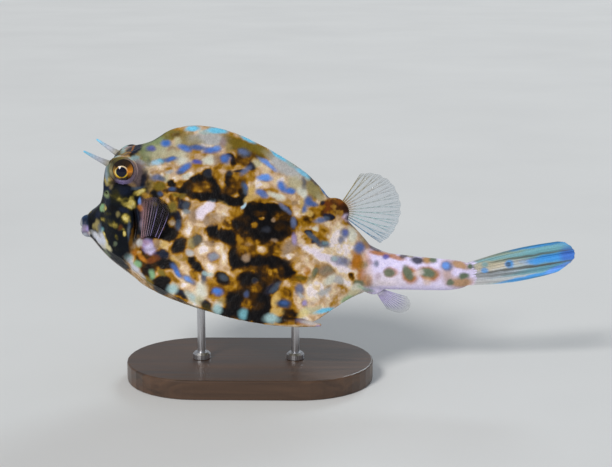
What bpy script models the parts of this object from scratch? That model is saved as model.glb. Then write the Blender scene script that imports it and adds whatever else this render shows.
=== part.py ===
"""A scrawled cowfish, life size, swimming level on a plain display stand.

Metres, +Z up. The head points to -X and the fish's left side to -Y. The origin is on the floor,
midway along the fish, in its plane of symmetry.
"""
import math
from collections import namedtuple

import bmesh
import bpy
import numpy as np
from mathutils import Matrix, Vector
from mathutils.bvhtree import BVHTree

TOTAL_LENGTH = 0.300
MM = TOTAL_LENGTH / 300
GAP = 0.0003

# The carapace is a loft of flat sections. Each section runs from a point on the back to a point
# under the belly, both in the plane of symmetry, in millimetres. half_width is the reach of the
# ventral ridge, ridge its share of the way down, crest and crest_drop the edge of the flat brow or
# of the keel, and fullness goes from 0, a three-sided trunk, to 1, a boxy head.
Station = namedtuple("Station", "back_x back_z under_x under_z half_width ridge crest crest_drop fullness")
STATIONS = (
    Station(-145.5, 101.5, -145.0, 89.5, 4.8, 0.76, 2.6, 0.02, 1.00),
    Station(-141.6, 106.3, -141.0, 85.2, 9.2, 0.78, 5.6, 0.02, 1.00),
    Station(-137.0, 111.0, -137.0, 80.8, 13.2, 0.78, 9.2, 0.01, 1.00),
    Station(-133.8, 119.0, -132.6, 76.4, 17.2, 0.79, 13.4, -0.01, 1.00),
    Station(-132.4, 128.2, -127.8, 72.4, 20.8, 0.79, 17.0, -0.02, 1.00),
    Station(-129.8, 135.4, -122.8, 68.8, 23.8, 0.80, 18.8, -0.03, 1.00),
    Station(-121.0, 139.2, -117.2, 64.8, 26.6, 0.82, 17.4, -0.03, 0.85),
    Station(-107.4, 146.6, -110.9, 60.4, 30.2, 0.865, 8.0, 0.01, 0.42),
    Station(-94.0, 154.6, -97.0, 53.8, 34.8, 0.892, 3.0, 0.012, 0.14),
    Station(-78.0, 157.0, -79.0, 48.5, 38.6, 0.926, 1.9, 0.010, 0.03),
    Station(-60.0, 153.9, -60.0, 44.8, 40.7, 0.950, 1.8, 0.010, 0.00),
    Station(-42.0, 146.2, -42.0, 42.3, 41.2, 0.959, 1.8, 0.010, 0.00),
    Station(-26.0, 137.1, -26.0, 41.0, 40.6, 0.966, 1.8, 0.010, 0.00),
    Station(-13.0, 128.2, -14.0, 41.4, 39.0, 0.970, 1.8, 0.012, 0.00),
    Station(-3.0, 118.0, -5.0, 44.4, 35.0, 0.955, 1.9, 0.015, 0.02),
    Station(5.0, 108.2, 4.0, 48.6, 27.2, 0.945, 2.2, 0.020, 0.08),
    Station(14.0, 97.6, 13.4, 52.8, 19.0, 0.925, 2.6, 0.030, 0.22),
    Station(24.6, 86.2, 24.2, 56.4, 10.6, 0.880, 3.4, 0.060, 0.55),
)
HEAD_END = 7
MOUTH_END, TRUNK_END = 0, len(STATIONS) - 1

# Where the rows of a section lie, from the middle of the back at 0 to the middle of the belly at 1.
CREST_ROW, RIDGE_ROW = 0.10, 0.72
SIDE_QUARTERS = (0.25, 0.50, 0.75)
TRUNK_SIDE = (0.215, 0.525, 0.790)
HEAD_SIDE = (0.900, 0.960, 0.985)
BELLY_SAG = 0.45

# The bony plates of the carapace
SIDE_PLATE_ROWS, BELLY_PLATE_ROWS = 8, 3
TRUNK_COLUMNS = 20
PLATE_HEIGHT, PLATE_BORDER = 0.35 * MM, 0.17

# The tail stalk: back, underside and half width at each place along it
STALK_SIZES = (
    (25.0, 84.6, 57.4, 9.2),
    (34.0, 80.2, 56.7, 7.8),
    (48.0, 77.9, 56.5, 6.4),
    (64.0, 76.2, 56.2, 5.2),
    (76.0, 75.2, 56.5, 4.0),
    (83.0, 73.9, 58.0, 2.6),
    (85.5, 73.0, 59.2, 1.7),
)

EYE_CENTRE = (-120.8, 18.2, 133.2)
EYE_RADIUS, ORBIT_RADIUS, ORBIT_RIM, ORBIT_OUT = 8.6, 8.9, 1.5, 2.2
HORN_ROOT, HORN_TIP = (-124.5, 17.2, 134.5), (-142.6, 23.0, 145.0)
HORN_RADII, HORN_RISE = (3.4, 2.3, 1.7, 1.3, 1.0, 0.55), 1.2
SPINE_ROOT, SPINE_TIP = (-26.0, 37.0, 47.0), (-3.8, 41.6, 45.6)
SPINE_RADII = (4.6, 4.0, 3.3, 2.6, 1.8, 0.9)
NOSTRIL_AT, NOSTRIL_RADIUS = (-131.0, 119.5), 0.9
GILL_TOP, GILL_FOOT = (-113.0, 113.0), (-113.6, 92.5)
GILL_WIDTH, GILL_DEPTH = 1.5, 4.0

MOUTH_CENTRE = (-146.2, 95.0)
MOUTH_HALF_WIDTH, MOUTH_HALF_HEIGHT = 4.0, 3.9
LIP_THICKNESS, LIP_REACH = 2.5, 4.2

DORSAL_LOBE, ANAL_LOBE = (5.2, 105.6), (27.5, 58.4)
TAIL_SPREAD = 1.9
RAY_HALF, MEMBRANE_HALF = 0.55, 0.27

BASE_LENGTH, BASE_WIDTH, BASE_HEIGHT, BASE_CENTRE_X = 0.150, 0.088, 0.012, -0.048
ROD_RADIUS, COLLAR_RADIUS, COLLAR_HEIGHT, ROD_TOP, ROD_SIDES = 0.0025, 0.0055, 0.004, 0.060, 16
ROD_PLACES = {"stand_rod_front": -0.078, "stand_rod_rear": -0.020}

COLOURS = {
    "skin": (0.72, 0.55, 0.34),
    "stalk_skin": (0.78, 0.70, 0.72),
    "fin_membrane": (0.55, 0.60, 0.58),
    "tail_fin": (0.45, 0.66, 0.72),
    "horn": (0.66, 0.72, 0.68),
    "lip": (0.55, 0.48, 0.50),
    "eye": (0.05, 0.04, 0.05),
    "stand_wood": (0.10, 0.06, 0.04),
    "stand_steel": (0.62, 0.62, 0.64),
}


def clear_scene():
    for obj in list(bpy.data.objects):
        bpy.data.objects.remove(obj, do_unlink=True)


def named_collection(name):
    made = bpy.data.collections.new(name)
    bpy.context.scene.collection.children.link(made)
    return made


def material(name, roughness=0.55, metallic=0.0):
    made = bpy.data.materials.get(name)
    if made is None:
        made = bpy.data.materials.new(name)
        made.use_nodes = True
        shader = made.node_tree.nodes["Principled BSDF"]
        shader.inputs["Base Color"].default_value = (*COLOURS[name], 1.0)
        shader.inputs["Roughness"].default_value = roughness
        shader.inputs["Metallic"].default_value = metallic
    return made


def mesh_object(name, points, faces, collection):
    """A closed mesh as an object. Its normals are made to point out."""
    mesh = bpy.data.meshes.new(name)
    mesh.from_pydata([tuple(float(c) for c in p) for p in points], [], faces)
    shell = bmesh.new()
    shell.from_mesh(mesh)
    bmesh.ops.recalc_face_normals(shell, faces=shell.faces)
    shell.to_mesh(mesh)
    shell.free()
    obj = bpy.data.objects.new(name, mesh)
    collection.objects.link(obj)
    return obj


def evaluated_mesh(obj):
    graph = bpy.context.evaluated_depsgraph_get()
    return bpy.data.meshes.new_from_object(obj.evaluated_get(graph), depsgraph=graph)


def keep_largest_shell(mesh):
    """Leaves only the shell with the largest box, so that no scrap of a cut stays behind."""
    shells = bmesh.new()
    shells.from_mesh(mesh)
    shells.verts.ensure_lookup_table()
    left, groups = set(shells.verts), []
    while left:
        found, todo = set(), [left.pop()]
        while todo:
            vert = todo.pop()
            found.add(vert)
            for edge in vert.link_edges:
                other = edge.other_vert(vert)
                if other in left:
                    left.discard(other)
                    todo.append(other)
        groups.append(found)

    def reach(group):
        corners = np.array([v.co for v in group])
        return float(np.prod(corners.max(0) - corners.min(0)))

    largest = max(groups, key=reach)
    dropped = [v for group in groups if group is not largest for v in group]
    bmesh.ops.delete(shells, geom=dropped, context="VERTS")
    shells.to_mesh(mesh)
    shells.free()


def boolean(obj, operation, collection, solver="EXACT"):
    """Applies one Boolean of a whole collection to obj, and removes the collection's objects."""
    modifier = obj.modifiers.new(operation.title(), "BOOLEAN")
    modifier.operation = operation
    modifier.operand_type = "COLLECTION"
    modifier.collection = collection
    modifier.solver = solver
    result = evaluated_mesh(obj)
    obj.modifiers.clear()
    obj.data = result
    for other in list(collection.objects):
        bpy.data.objects.remove(other, do_unlink=True)
    bpy.data.collections.remove(collection)
    keep_largest_shell(obj.data)


def slopes(knots, values):
    """Slopes of a smooth curve through values, whose last axis runs along the knots."""
    steps = np.diff(knots)
    rises = np.diff(values, axis=-1) / steps
    inner = (rises[..., :-1] * steps[1:] + rises[..., 1:] * steps[:-1]) / (steps[1:] + steps[:-1])
    return np.concatenate([rises[..., :1], inner, rises[..., -1:]], axis=-1)


def smooth_curve(knots, values, at):
    """Values at the places in at, on a cubic through the knots. values has one row per place, or one in all."""
    knots, values, at = np.asarray(knots, float), np.atleast_2d(values), np.atleast_1d(at)
    values = np.broadcast_to(values, (len(at), values.shape[-1]))
    tangents = slopes(knots, values)
    span = np.clip(np.searchsorted(knots, at, side="right") - 1, 0, len(knots) - 2)
    row = np.arange(len(at))
    step = knots[span + 1] - knots[span]
    t = (at - knots[span]) / step
    start, end = values[row, span], values[row, span + 1]
    leave, arrive = tangents[row, span] * step, tangents[row, span + 1] * step
    return (
        (1 + 2 * t) * (1 - t) ** 2 * start
        + t * (1 - t) ** 2 * leave
        + t * t * (3 - 2 * t) * end
        + t * t * (t - 1) * arrive
    )


def station_knots():
    """The place of each station along the body: the mean way along the back and the belly."""
    back = np.array([(s.back_x, s.back_z) for s in STATIONS])
    under = np.array([(s.under_x, s.under_z) for s in STATIONS])
    steps = (np.linalg.norm(np.diff(back, axis=0), axis=1) + np.linalg.norm(np.diff(under, axis=0), axis=1)) / 2
    return np.concatenate([[0.0], np.cumsum(steps)])


KNOTS = station_knots()


def body_points(along, row, side=-1):
    """Points of the carapace at places along the body and rows round it, on the side of -Y or +Y."""
    along, row = np.broadcast_arrays(np.asarray(along, float), np.asarray(row, float))
    shape = along.shape
    along, row = along.ravel(), row.ravel()
    sizes = {
        field: smooth_curve(KNOTS, [getattr(s, field) for s in STATIONS], along)
        for field in Station._fields
    }
    zero = np.zeros_like(along)
    width, ridge, full = sizes["half_width"], sizes["ridge"], sizes["fullness"]
    side_widths = [width * (t + (h - t) * full) for t, h in zip(TRUNK_SIDE, HEAD_SIDE)]
    side_rows = [CREST_ROW + (RIDGE_ROW - CREST_ROW) * q for q in SIDE_QUARTERS]
    upper_rows = [0.0, CREST_ROW, *side_rows, RIDGE_ROW]
    upper_down = np.stack([zero, sizes["crest_drop"], *[ridge * q for q in SIDE_QUARTERS], ridge], axis=1)
    upper_out = np.stack([zero, sizes["crest"], *side_widths, width], axis=1)
    belly_rows = [RIDGE_ROW, (RIDGE_ROW + 1) / 2, 1.0]
    belly_down = np.stack([ridge, 1 - (1 - ridge) * BELLY_SAG * 0.5, zero + 1.0], axis=1)
    belly_out = np.stack([width, width * 0.55, zero], axis=1)
    above = row <= RIDGE_ROW
    down = np.where(
        above,
        smooth_curve(upper_rows, upper_down, np.minimum(row, RIDGE_ROW)),
        smooth_curve(belly_rows, belly_down, np.maximum(row, RIDGE_ROW)),
    )
    out = np.where(
        above,
        smooth_curve(upper_rows, upper_out, np.minimum(row, RIDGE_ROW)),
        smooth_curve(belly_rows, belly_out, np.maximum(row, RIDGE_ROW)),
    )
    x = sizes["back_x"] + (sizes["under_x"] - sizes["back_x"]) * down
    z = sizes["back_z"] + (sizes["under_z"] - sizes["back_z"]) * down
    return np.stack([x * MM, side * out * MM, z * MM], axis=-1).reshape(*shape, 3)


def body_normals(along, row, side=-1):
    """Outward normals of the carapace there."""
    small_along, small_row = 0.05, 0.002
    high_row = np.minimum(row + small_row, 1.0)
    low_row = np.maximum(row - small_row, 0.0)
    lengthwise = body_points(along + small_along, row, side) - body_points(along - small_along, row, side)
    round_it = body_points(along, high_row, side) - body_points(along, low_row, side)
    normal = np.cross(lengthwise, round_it) * -side
    return normal / np.linalg.norm(normal, axis=-1, keepdims=True)


class Shell:
    """Points and faces of a mesh in the making. Points on the plane of symmetry are shared by both sides."""

    def __init__(self):
        self.points, self.faces, self.index = [], [], {}

    def point(self, place):
        key = tuple(round(float(c) * 1e7) for c in place)
        if key not in self.index:
            self.index[key] = len(self.points)
            self.points.append(place)
        return self.index[key]

    def face(self, corners):
        ids = [self.point(corner) for corner in corners]
        ids = [i for n, i in enumerate(ids) if i != ids[n - 1]]
        if len(ids) > 2:
            self.faces.append(ids)

    def strip(self, grid):
        """Quads over a grid of points."""
        for upper, lower in zip(grid[:-1], grid[1:]):
            for n in range(len(upper) - 1):
                self.face([upper[n], upper[n + 1], lower[n + 1], lower[n]])


def close_end(shell, along, rows):
    """A flat cap across a section, both sides."""
    left = body_points(along, rows, -1)
    right = body_points(along, rows[1:-1], 1)
    shell.face([*left, *right[::-1]])


def carapace_grid(start, end, columns, rows):
    """A plain closed loft of the carapace between two places along it."""
    shell = Shell()
    places = np.linspace(start, end, columns + 1) if np.isscalar(columns) else np.asarray(columns)
    for side in (-1, 1):
        shell.strip(body_points(places[None, :], rows[:, None], side))
    close_end(shell, places[0], rows)
    close_end(shell, places[-1], rows)
    return shell


def even_rows(top, side, belly):
    return np.concatenate([
        np.linspace(0, CREST_ROW, top + 1)[:-1],
        np.linspace(CREST_ROW, RIDGE_ROW, side + 1)[:-1],
        np.linspace(RIDGE_ROW, 1, belly + 1),
    ])


def plate(shell, corners, middle, side):
    """One bony plate: a raised top inside a sunken border. Corners and middle are (along, row)."""
    corners, middle = np.array(corners), np.array(middle)
    inner = corners + (middle - corners) * PLATE_BORDER
    rim = body_points(corners[:, 0], corners[:, 1], side)
    raised = np.vstack([inner, middle])
    lift = body_normals(raised[:, 0], raised[:, 1], side) * PLATE_HEIGHT
    top = body_points(raised[:, 0], raised[:, 1], side) + lift
    for n in range(len(corners)):
        m = (n + 1) % len(corners)
        shell.face([rim[n], rim[m], top[m], top[n]])
        shell.face([top[n], top[m], top[-1]])


def plated_trunk(start, end):
    """The trunk: hexagonal plates in staggered rows on the sides and the belly, and a plain keel."""
    shell = Shell()
    columns = np.linspace(start, end, TRUNK_COLUMNS + 1)
    bands = (
        np.linspace(CREST_ROW, RIDGE_ROW, SIDE_PLATE_ROWS + 1),
        np.linspace(RIDGE_ROW, 1.0, BELLY_PLATE_ROWS + 1),
    )
    for side in (-1, 1):
        shell.strip(body_points(columns[None, :], np.array([0.0, CREST_ROW])[:, None], side))
        for band in bands:
            pitch = band[1] - band[0]
            last = len(band) - 1

            def corner(line, column):
                stagger = 0.0 if line in (0, last) else pitch / 6
                return columns[column], band[line] + (stagger if (line + column) % 2 == 0 else -stagger)

            for line in range(last):
                first = 0 if line % 2 == 0 else -1
                for column in range(first, TRUNK_COLUMNS, 2):
                    low, high = max(column, 0), min(column + 2, TRUNK_COLUMNS)
                    across = range(low, high + 1)
                    ring = [corner(line, c) for c in across] + [corner(line + 1, c) for c in reversed(across)]
                    plate(shell, ring, np.mean(ring, axis=0), side)
    edge_rows = np.concatenate([[0.0], bands[0], bands[1][1:]])
    for column in (0, TRUNK_COLUMNS):
        lines = [(0.0, 0)]
        for band in bands:
            pitch, last = band[1] - band[0], len(band) - 1
            for line in range(last + 1):
                stagger = 0.0 if line in (0, last) else pitch / 6
                place = band[line] + (stagger if (line + column) % 2 == 0 else -stagger)
                if place > lines[-1][0] + 1e-9:
                    lines.append((place, line))
        rows = np.array([row for row, _ in lines])
        assert len(rows) == len(edge_rows)
        close_end(shell, columns[column], rows)
    return shell


def stalk_sections(places):
    knots = [s[0] for s in STALK_SIZES]
    back, under, half = (smooth_curve(knots, [s[n] for s in STALK_SIZES], places) for n in (1, 2, 3))
    return back, under, half


def tail_stalk(collection):
    """The tail stalk, an oval tapering to the root of the tail fin."""
    places = np.linspace(STALK_SIZES[0][0], STALK_SIZES[-1][0], 15)
    back, under, half = stalk_sections(places)
    turns = np.linspace(0, 2 * math.pi, 21)[:-1]
    rings = [
        [
            (x * MM, h * math.sin(a) * MM, ((b + u) / 2 + (b - u) / 2 * math.cos(a)) * MM)
            for a in turns
        ]
        for x, b, u, h in zip(places, back, under, half)
    ]
    shell = Shell()
    shell.strip([[*ring, ring[0]] for ring in rings])
    shell.face(rings[0])
    shell.face(rings[-1])
    return mesh_object("tail_stalk", shell.points, shell.faces, collection)


def tapered_horn(name, root, tip, radii, rise, collection, flat=1.0):
    """A horn or spine: a cone of the given radii from root to tip, bent up by rise at its tip."""
    root, tip = Vector(root) * MM, Vector(tip) * MM
    axis = (tip - root).normalized()
    across = axis.cross(Vector((0, 0, 1))).normalized()
    over = across.cross(axis).normalized()
    turns = [2 * math.pi * n / 10 for n in range(10)]
    shell, rings = Shell(), []
    for n, radius in enumerate(radii):
        share = n / (len(radii) - 1)
        centre = root.lerp(tip, share) + Vector((0, 0, rise * MM * (share**2 - share)))
        rings.append([
            centre + (across * math.cos(a) + over * math.sin(a) * flat) * radius * MM for a in turns
        ])
    shell.strip([[*ring, ring[0]] for ring in rings])
    shell.face(rings[0])
    end = tip + axis * radii[-1] * MM
    for n, place in enumerate(rings[-1]):
        shell.face([rings[-1][n - 1], place, end])
    return mesh_object(name, shell.points, shell.faces, collection)


def ball(name, centre, radii, collection, segments=16, rings=10, turn=None):
    """An ellipsoid, turned about its middle."""
    mesh = bpy.data.meshes.new(name)
    shape = bmesh.new()
    bmesh.ops.create_uvsphere(shape, u_segments=segments, v_segments=rings, radius=1.0)
    place = Matrix.Translation(Vector(centre) * MM) @ (turn or Matrix.Identity(4))
    bmesh.ops.transform(shape, matrix=place @ Matrix.Diagonal((*[r * MM for r in radii], 1)), verts=shape.verts)
    shape.to_mesh(mesh)
    shape.free()
    obj = bpy.data.objects.new(name, mesh)
    collection.objects.link(obj)
    return obj


def rayed_fin(name, roots, tips, normals, bow, collection, steps=7, root_half=1.1, spread=None):
    """A fin: rays as ridges on a thin membrane. roots, tips and normals hold one row per ray, in mm.

    bow bends the whole fin sideways, and spread moves the middle of each ray in the plane of the fin.
    """
    roots, tips, normals = (np.array(v, float) for v in (roots, tips, normals))
    rays = len(roots)
    columns = [float(i) for i in range(rays)]
    columns += [i + part for i in range(rays - 1) for part in (0.3, 0.7)]
    columns = np.array(sorted(columns))
    index = np.arange(rays)

    def between(values):
        return np.stack([np.interp(columns, index, values[:, n]) for n in range(3)], axis=1)

    start, end, facing = between(roots), between(tips), between(normals)
    aside = between(np.zeros_like(roots) if spread is None else np.array(spread, float))
    on_ray = np.isclose(columns % 1, 0)
    webs = np.where(on_ray, 1.0, 0.965)
    front, back = [], []
    for t in np.linspace(0, 1, steps + 1):
        reach = (t * webs)[:, None]
        centre = start + (end - start) * reach + (facing * bow + aside) * math.sin(math.pi * t)
        taper = 1 - 0.45 * t
        half = np.where(on_ray, RAY_HALF * taper, MEMBRANE_HALF)
        half = half + root_half * max(0.0, 1 - t * 3.5) ** 2
        front.append((centre + facing * half[:, None]) * MM)
        back.append((centre - facing * half[:, None]) * MM)
    shell = Shell()
    for sheet in (front, back):
        for upper, lower in zip(sheet[:-1], sheet[1:]):
            for n in range(len(columns) - 1):
                shell.face([upper[n], upper[n + 1], lower[n + 1]])
                shell.face([upper[n], lower[n + 1], lower[n]])
    for n in range(len(columns) - 1):
        for line in (0, -1):
            shell.face([front[line][n], front[line][n + 1], back[line][n + 1], back[line][n]])
    for m in range(steps):
        for edge in (0, -1):
            shell.face([front[m][edge], front[m + 1][edge], back[m + 1][edge], back[m][edge]])
    return mesh_object(name, shell.points, shell.faces, collection)


def fan(centre, root_reach, angles, reaches):
    """Roots and tips of rays that fan out from a centre in the plane of symmetry, angles in degrees."""
    roots, tips = [], []
    for angle, reach in zip(angles, reaches):
        way = np.array([math.cos(math.radians(angle)), 0, math.sin(math.radians(angle))])
        middle = np.array([centre[0], 0, centre[1]])
        roots.append(middle + way * root_reach)
        tips.append(middle + way * reach)
    return roots, tips


def cut_by_body(obj, solver="EXACT", orbits=()):
    """Takes the body, grown by the gap, out of a piece that grows from it, and the orbits named by side."""
    cutters = named_collection("cutters")
    for side in orbits:
        orbit_rim(side, ORBIT_RIM + GAP / MM, cutters)
    cutter = bpy.data.objects.new("body_cutter", BODY_CUTTER.copy())
    cutters.objects.link(cutter)
    boolean(obj, "DIFFERENCE", cutters, solver)


def body_cutter_mesh():
    """The whole carapace and the tail stalk, each grown by the gap and by the plates' height."""
    scratch = named_collection("scratch")
    shell = carapace_grid(KNOTS[MOUTH_END], KNOTS[TRUNK_END], 70, even_rows(3, 22, 7))
    carapace = mesh_object("grown_carapace", shell.points, shell.faces, scratch)
    grow(carapace.data, GAP + PLATE_HEIGHT)
    stalk = tail_stalk(scratch)
    grow(stalk.data, GAP)
    joined = named_collection("joined")
    scratch.objects.unlink(stalk)
    joined.objects.link(stalk)
    boolean(carapace, "UNION", joined)
    mesh = carapace.data.copy()
    bpy.data.objects.remove(carapace, do_unlink=True)
    bpy.data.collections.remove(scratch)
    return mesh


def grow(mesh, by):
    shape = bmesh.new()
    shape.from_mesh(mesh)
    shape.normal_update()
    moves = [(v, v.normal * by) for v in shape.verts]
    for vert, move in moves:
        vert.co += move
    shape.to_mesh(mesh)
    shape.free()


def surface_place(x, z, side):
    """The point of the carapace's side at x and z in mm, found by casting a line across it."""
    hit = BODY_TREE.ray_cast(Vector((x * MM, side * 0.2, z * MM)), Vector((0, -side, 0)))
    return hit[0] / MM, hit[1]


def eyes(collection):
    for side, word in ((-1, "left"), (1, "right")):
        centre = (EYE_CENTRE[0], side * EYE_CENTRE[1], EYE_CENTRE[2])
        turn = Matrix.Rotation(-side * math.pi / 2, 4, "X")
        eye = ball(f"eye_{word}", centre, (EYE_RADIUS,) * 3, collection, 20, 12, turn)
        eye.data.materials.append(material("eye", 0.1))


def head(collection):
    """The head: a loft with raised orbits, sockets for the eyes, nostrils and gill slits."""
    along = np.concatenate([
        np.linspace(0, KNOTS[3], 8)[:-1],
        np.linspace(KNOTS[3], KNOTS[HEAD_END] - GAP / MM / 2, 11),
    ])
    shell = carapace_grid(along[0], along[-1], along, even_rows(3, 15, 5))
    head_obj = mesh_object("head", shell.points, shell.faces, collection)
    rims, cuts = named_collection("rims"), named_collection("cuts")
    for side in (-1, 1):
        orbit_rim(side, ORBIT_RIM, rims)
    boolean(head_obj, "UNION", rims)
    for side in (-1, 1):
        centre = (EYE_CENTRE[0], side * EYE_CENTRE[1], EYE_CENTRE[2])
        turn = Matrix.Rotation(-side * math.pi / 2, 4, "X")
        ball("socket", centre, (EYE_RADIUS + GAP / MM,) * 3, cuts, 20, 12, turn)
        nostril, _ = surface_place(*NOSTRIL_AT, side)
        ball("nostril", nostril, (NOSTRIL_RADIUS, 2.0, NOSTRIL_RADIUS), cuts, 8, 6)
        gill_middle = ((GILL_TOP[0] + GILL_FOOT[0]) / 2, (GILL_TOP[1] + GILL_FOOT[1]) / 2)
        slit, _ = surface_place(*gill_middle, side)
        height = GILL_TOP[1] - GILL_FOOT[1]
        lean = Matrix.Rotation(math.atan2(GILL_TOP[0] - GILL_FOOT[0], height), 4, "Y")
        ball("gill", slit, (GILL_WIDTH / 2, GILL_DEPTH, height / 2), cuts, 10, 10, lean)
    boolean(head_obj, "DIFFERENCE", cuts)
    head_obj.data.materials.append(material("skin"))


def orbit_rim(side, thickness, collection):
    """The ring of flesh round an eye."""
    centre = (EYE_CENTRE[0], side * (EYE_CENTRE[1] + ORBIT_OUT), EYE_CENTRE[2])
    turns = [2 * math.pi * n / 20 for n in range(20)]
    rings = []
    for a in turns:
        out = Vector((math.cos(a), 0, math.sin(a)))
        middle = Vector(centre) + out * ORBIT_RADIUS
        rings.append([
            (middle + (out * math.cos(b) + Vector((0, side, 0)) * math.sin(b)) * thickness) * MM
            for b in (2 * math.pi * m / 8 for m in range(8))
        ])
    shell = Shell()
    closed = [[*ring, ring[0]] for ring in rings]
    shell.strip([*closed, closed[0]])
    mesh_object("orbit_rim", shell.points, shell.faces, collection)


def trunk(collection):
    shell = plated_trunk(KNOTS[HEAD_END] + GAP / MM / 2, KNOTS[TRUNK_END])
    obj = mesh_object("trunk", shell.points, shell.faces, collection)
    obj.data.materials.append(material("skin"))


def horns(collection):
    for side, word in ((-1, "left"), (1, "right")):
        root = (HORN_ROOT[0], side * HORN_ROOT[1], HORN_ROOT[2])
        tip = (HORN_TIP[0], side * HORN_TIP[1], HORN_TIP[2])
        horn = tapered_horn(f"horn_{word}", root, tip, HORN_RADII, HORN_RISE, collection)
        cut_by_body(horn, orbits=(side,))
        horn.data.materials.append(material("horn"))


def ventral_spines(collection):
    for side, word in ((-1, "left"), (1, "right")):
        root = (SPINE_ROOT[0], side * SPINE_ROOT[1], SPINE_ROOT[2])
        tip = (SPINE_TIP[0], side * SPINE_TIP[1], SPINE_TIP[2])
        spine = tapered_horn(f"belly_spine_{word}", root, tip, SPINE_RADII, 0.0, collection, flat=0.8)
        cut_by_body(spine)
        spine.data.materials.append(material("horn"))


def lips(collection):
    """Two thick lips round a small mouth, each a bent roll that thins to the mouth's corners."""
    for word, first, last in (("upper", 4, 176), ("lower", 184, 356)):
        rings = []
        for a in np.radians(np.linspace(first, last, 15)):
            ends = min(1.0, 0.55 + 1.3 * abs(math.sin(a)))
            middle = Vector((
                MOUTH_CENTRE[0], MOUTH_HALF_WIDTH * math.cos(a), MOUTH_CENTRE[1] + MOUTH_HALF_HEIGHT * math.sin(a)
            ))
            out = Vector((0, math.cos(a), math.sin(a)))
            rings.append([
                (
                    middle
                    + out * math.cos(b) * LIP_THICKNESS * ends
                    + Vector((-1, 0, 0)) * math.sin(b) * LIP_REACH * ends
                ) * MM
                for b in (2 * math.pi * m / 12 for m in range(12))
            ])
        shell = Shell()
        shell.strip([[*ring, ring[0]] for ring in rings])
        shell.face(rings[0])
        shell.face(rings[-1])
        lip = mesh_object(f"lip_{word}", shell.points, shell.faces, collection)
        cut_by_body(lip)
        lip.data.materials.append(material("lip"))


def fleshy_fin(name, pieces, slot, collection, solver="EXACT"):
    """Joins a fin's lobe to its rays, and cuts the body out of its root."""
    fin = pieces[0]
    others = named_collection("others")
    for piece in pieces[1:]:
        collection.objects.unlink(piece)
        others.objects.link(piece)
    boolean(fin, "UNION", others, solver)
    cut_by_body(fin, solver)
    fin.name = name
    fin.data.materials.append(material(slot))


def dorsal_fin(collection):
    angles = np.linspace(58, -37, 10)
    reaches = (27, 31.5, 35, 37.5, 38.5, 39, 38.5, 37.5, 36, 33.5)
    roots, tips = fan(DORSAL_LOBE, 4.0, angles, reaches)
    fin = rayed_fin("dorsal_rays", roots, tips, [(0, -1, 0)] * 10, 1.2, collection)
    turn = Matrix.Rotation(math.radians(49), 4, "Y")
    lobe = ball("dorsal_lobe", (DORSAL_LOBE[0], 0, DORSAL_LOBE[1]), (9.0, 2.9, 7.6), collection, 16, 10, turn)
    fleshy_fin("dorsal_fin", [fin, lobe], "fin_membrane", collection)


def anal_fin(collection):
    angles = np.linspace(-17, -58, 10)
    reaches = (22, 24.5, 26, 26.5, 26.5, 25.5, 24, 22, 19.5, 17)
    roots, tips = fan(ANAL_LOBE, 4.0, angles, reaches)
    fin = rayed_fin("anal_rays", roots, tips, [(0, -1, 0)] * 10, 1.0, collection, steps=6)
    turn = Matrix.Rotation(math.radians(10), 4, "Y")
    lobe = ball("anal_lobe", (ANAL_LOBE[0], 0, ANAL_LOBE[1]), (7.0, 2.6, 5.6), collection, 14, 8, turn)
    fleshy_fin("anal_fin", [fin, lobe], "fin_membrane", collection, "MANIFOLD")


def pectoral_fins(collection):
    """Each stands up from a fleshy lobe on the side, leaning out from the body."""
    rays = 11
    share = np.linspace(0, 1, rays)
    for side, word in ((-1, "left"), (1, "right")):
        lobe_at, normal = surface_place(-104.6, 91.5, side)
        out = np.array([0.0, side, 0.0])
        base = np.array(lobe_at) + out * 1.2
        roots = [base + np.array([-5.0 + 9.4 * s, side * (0.6 - 1.0 * s), 2.2 - 0.8 * s]) for s in share]
        reach = 26.5 + 2.5 * np.sin(math.pi * share) - 5.0 * share**2
        lean = np.radians(90 - (8 + 16 * share))
        outward = 0.34 - 0.10 * share
        tips = [
            root + length * np.array([math.cos(a), side * o, math.sin(a)])
            for root, length, a, o in zip(roots, reach, lean, outward)
        ]
        facing = [np.array([0.25, side * 0.94, -0.24])] * rays
        fin = rayed_fin("pectoral_rays", roots, tips, facing, 1.0, collection)
        lobe = ball("pectoral_lobe", base, (6.2, 3.4, 5.2), collection, 16, 10)
        fleshy_fin(f"pectoral_fin_{word}", [fin, lobe], "fin_membrane", collection)


def tail_fin(collection):
    """The tail fin, half closed: its rays lie in three bundles with folds between them."""
    rays = 10
    share = np.linspace(0, 1, rays)
    root_x, tip_knots = STALK_SIZES[-1][0] + GAP / MM, np.linspace(0, 1, 7)
    tip_x = smooth_curve(tip_knots, [139.5, 145.6, 149.4, 150.0, 147.6, 142.6, 133.5], share)
    tip_z = smooth_curve(tip_knots, [87.0, 85.6, 81.6, 78.4, 74.0, 69.8, 66.0], share)
    roots = [np.array([root_x, 0, 72.6 - 13.0 * s]) for s in share]
    fold = np.sin(share * 3 * 2 * math.pi) * 1.3
    tips = [np.array([x, y, z]) for x, y, z in zip(tip_x, fold, tip_z)]
    spread = [(0, 0, TAIL_SPREAD * (1 - 2 * s)) for s in share]
    facing = [(0, -1, 0)] * rays
    fin = rayed_fin("tail_fin", roots, tips, facing, 0.0, collection, 9, root_half=0.9, spread=spread)
    fin.data.materials.append(material("tail_fin"))


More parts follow.
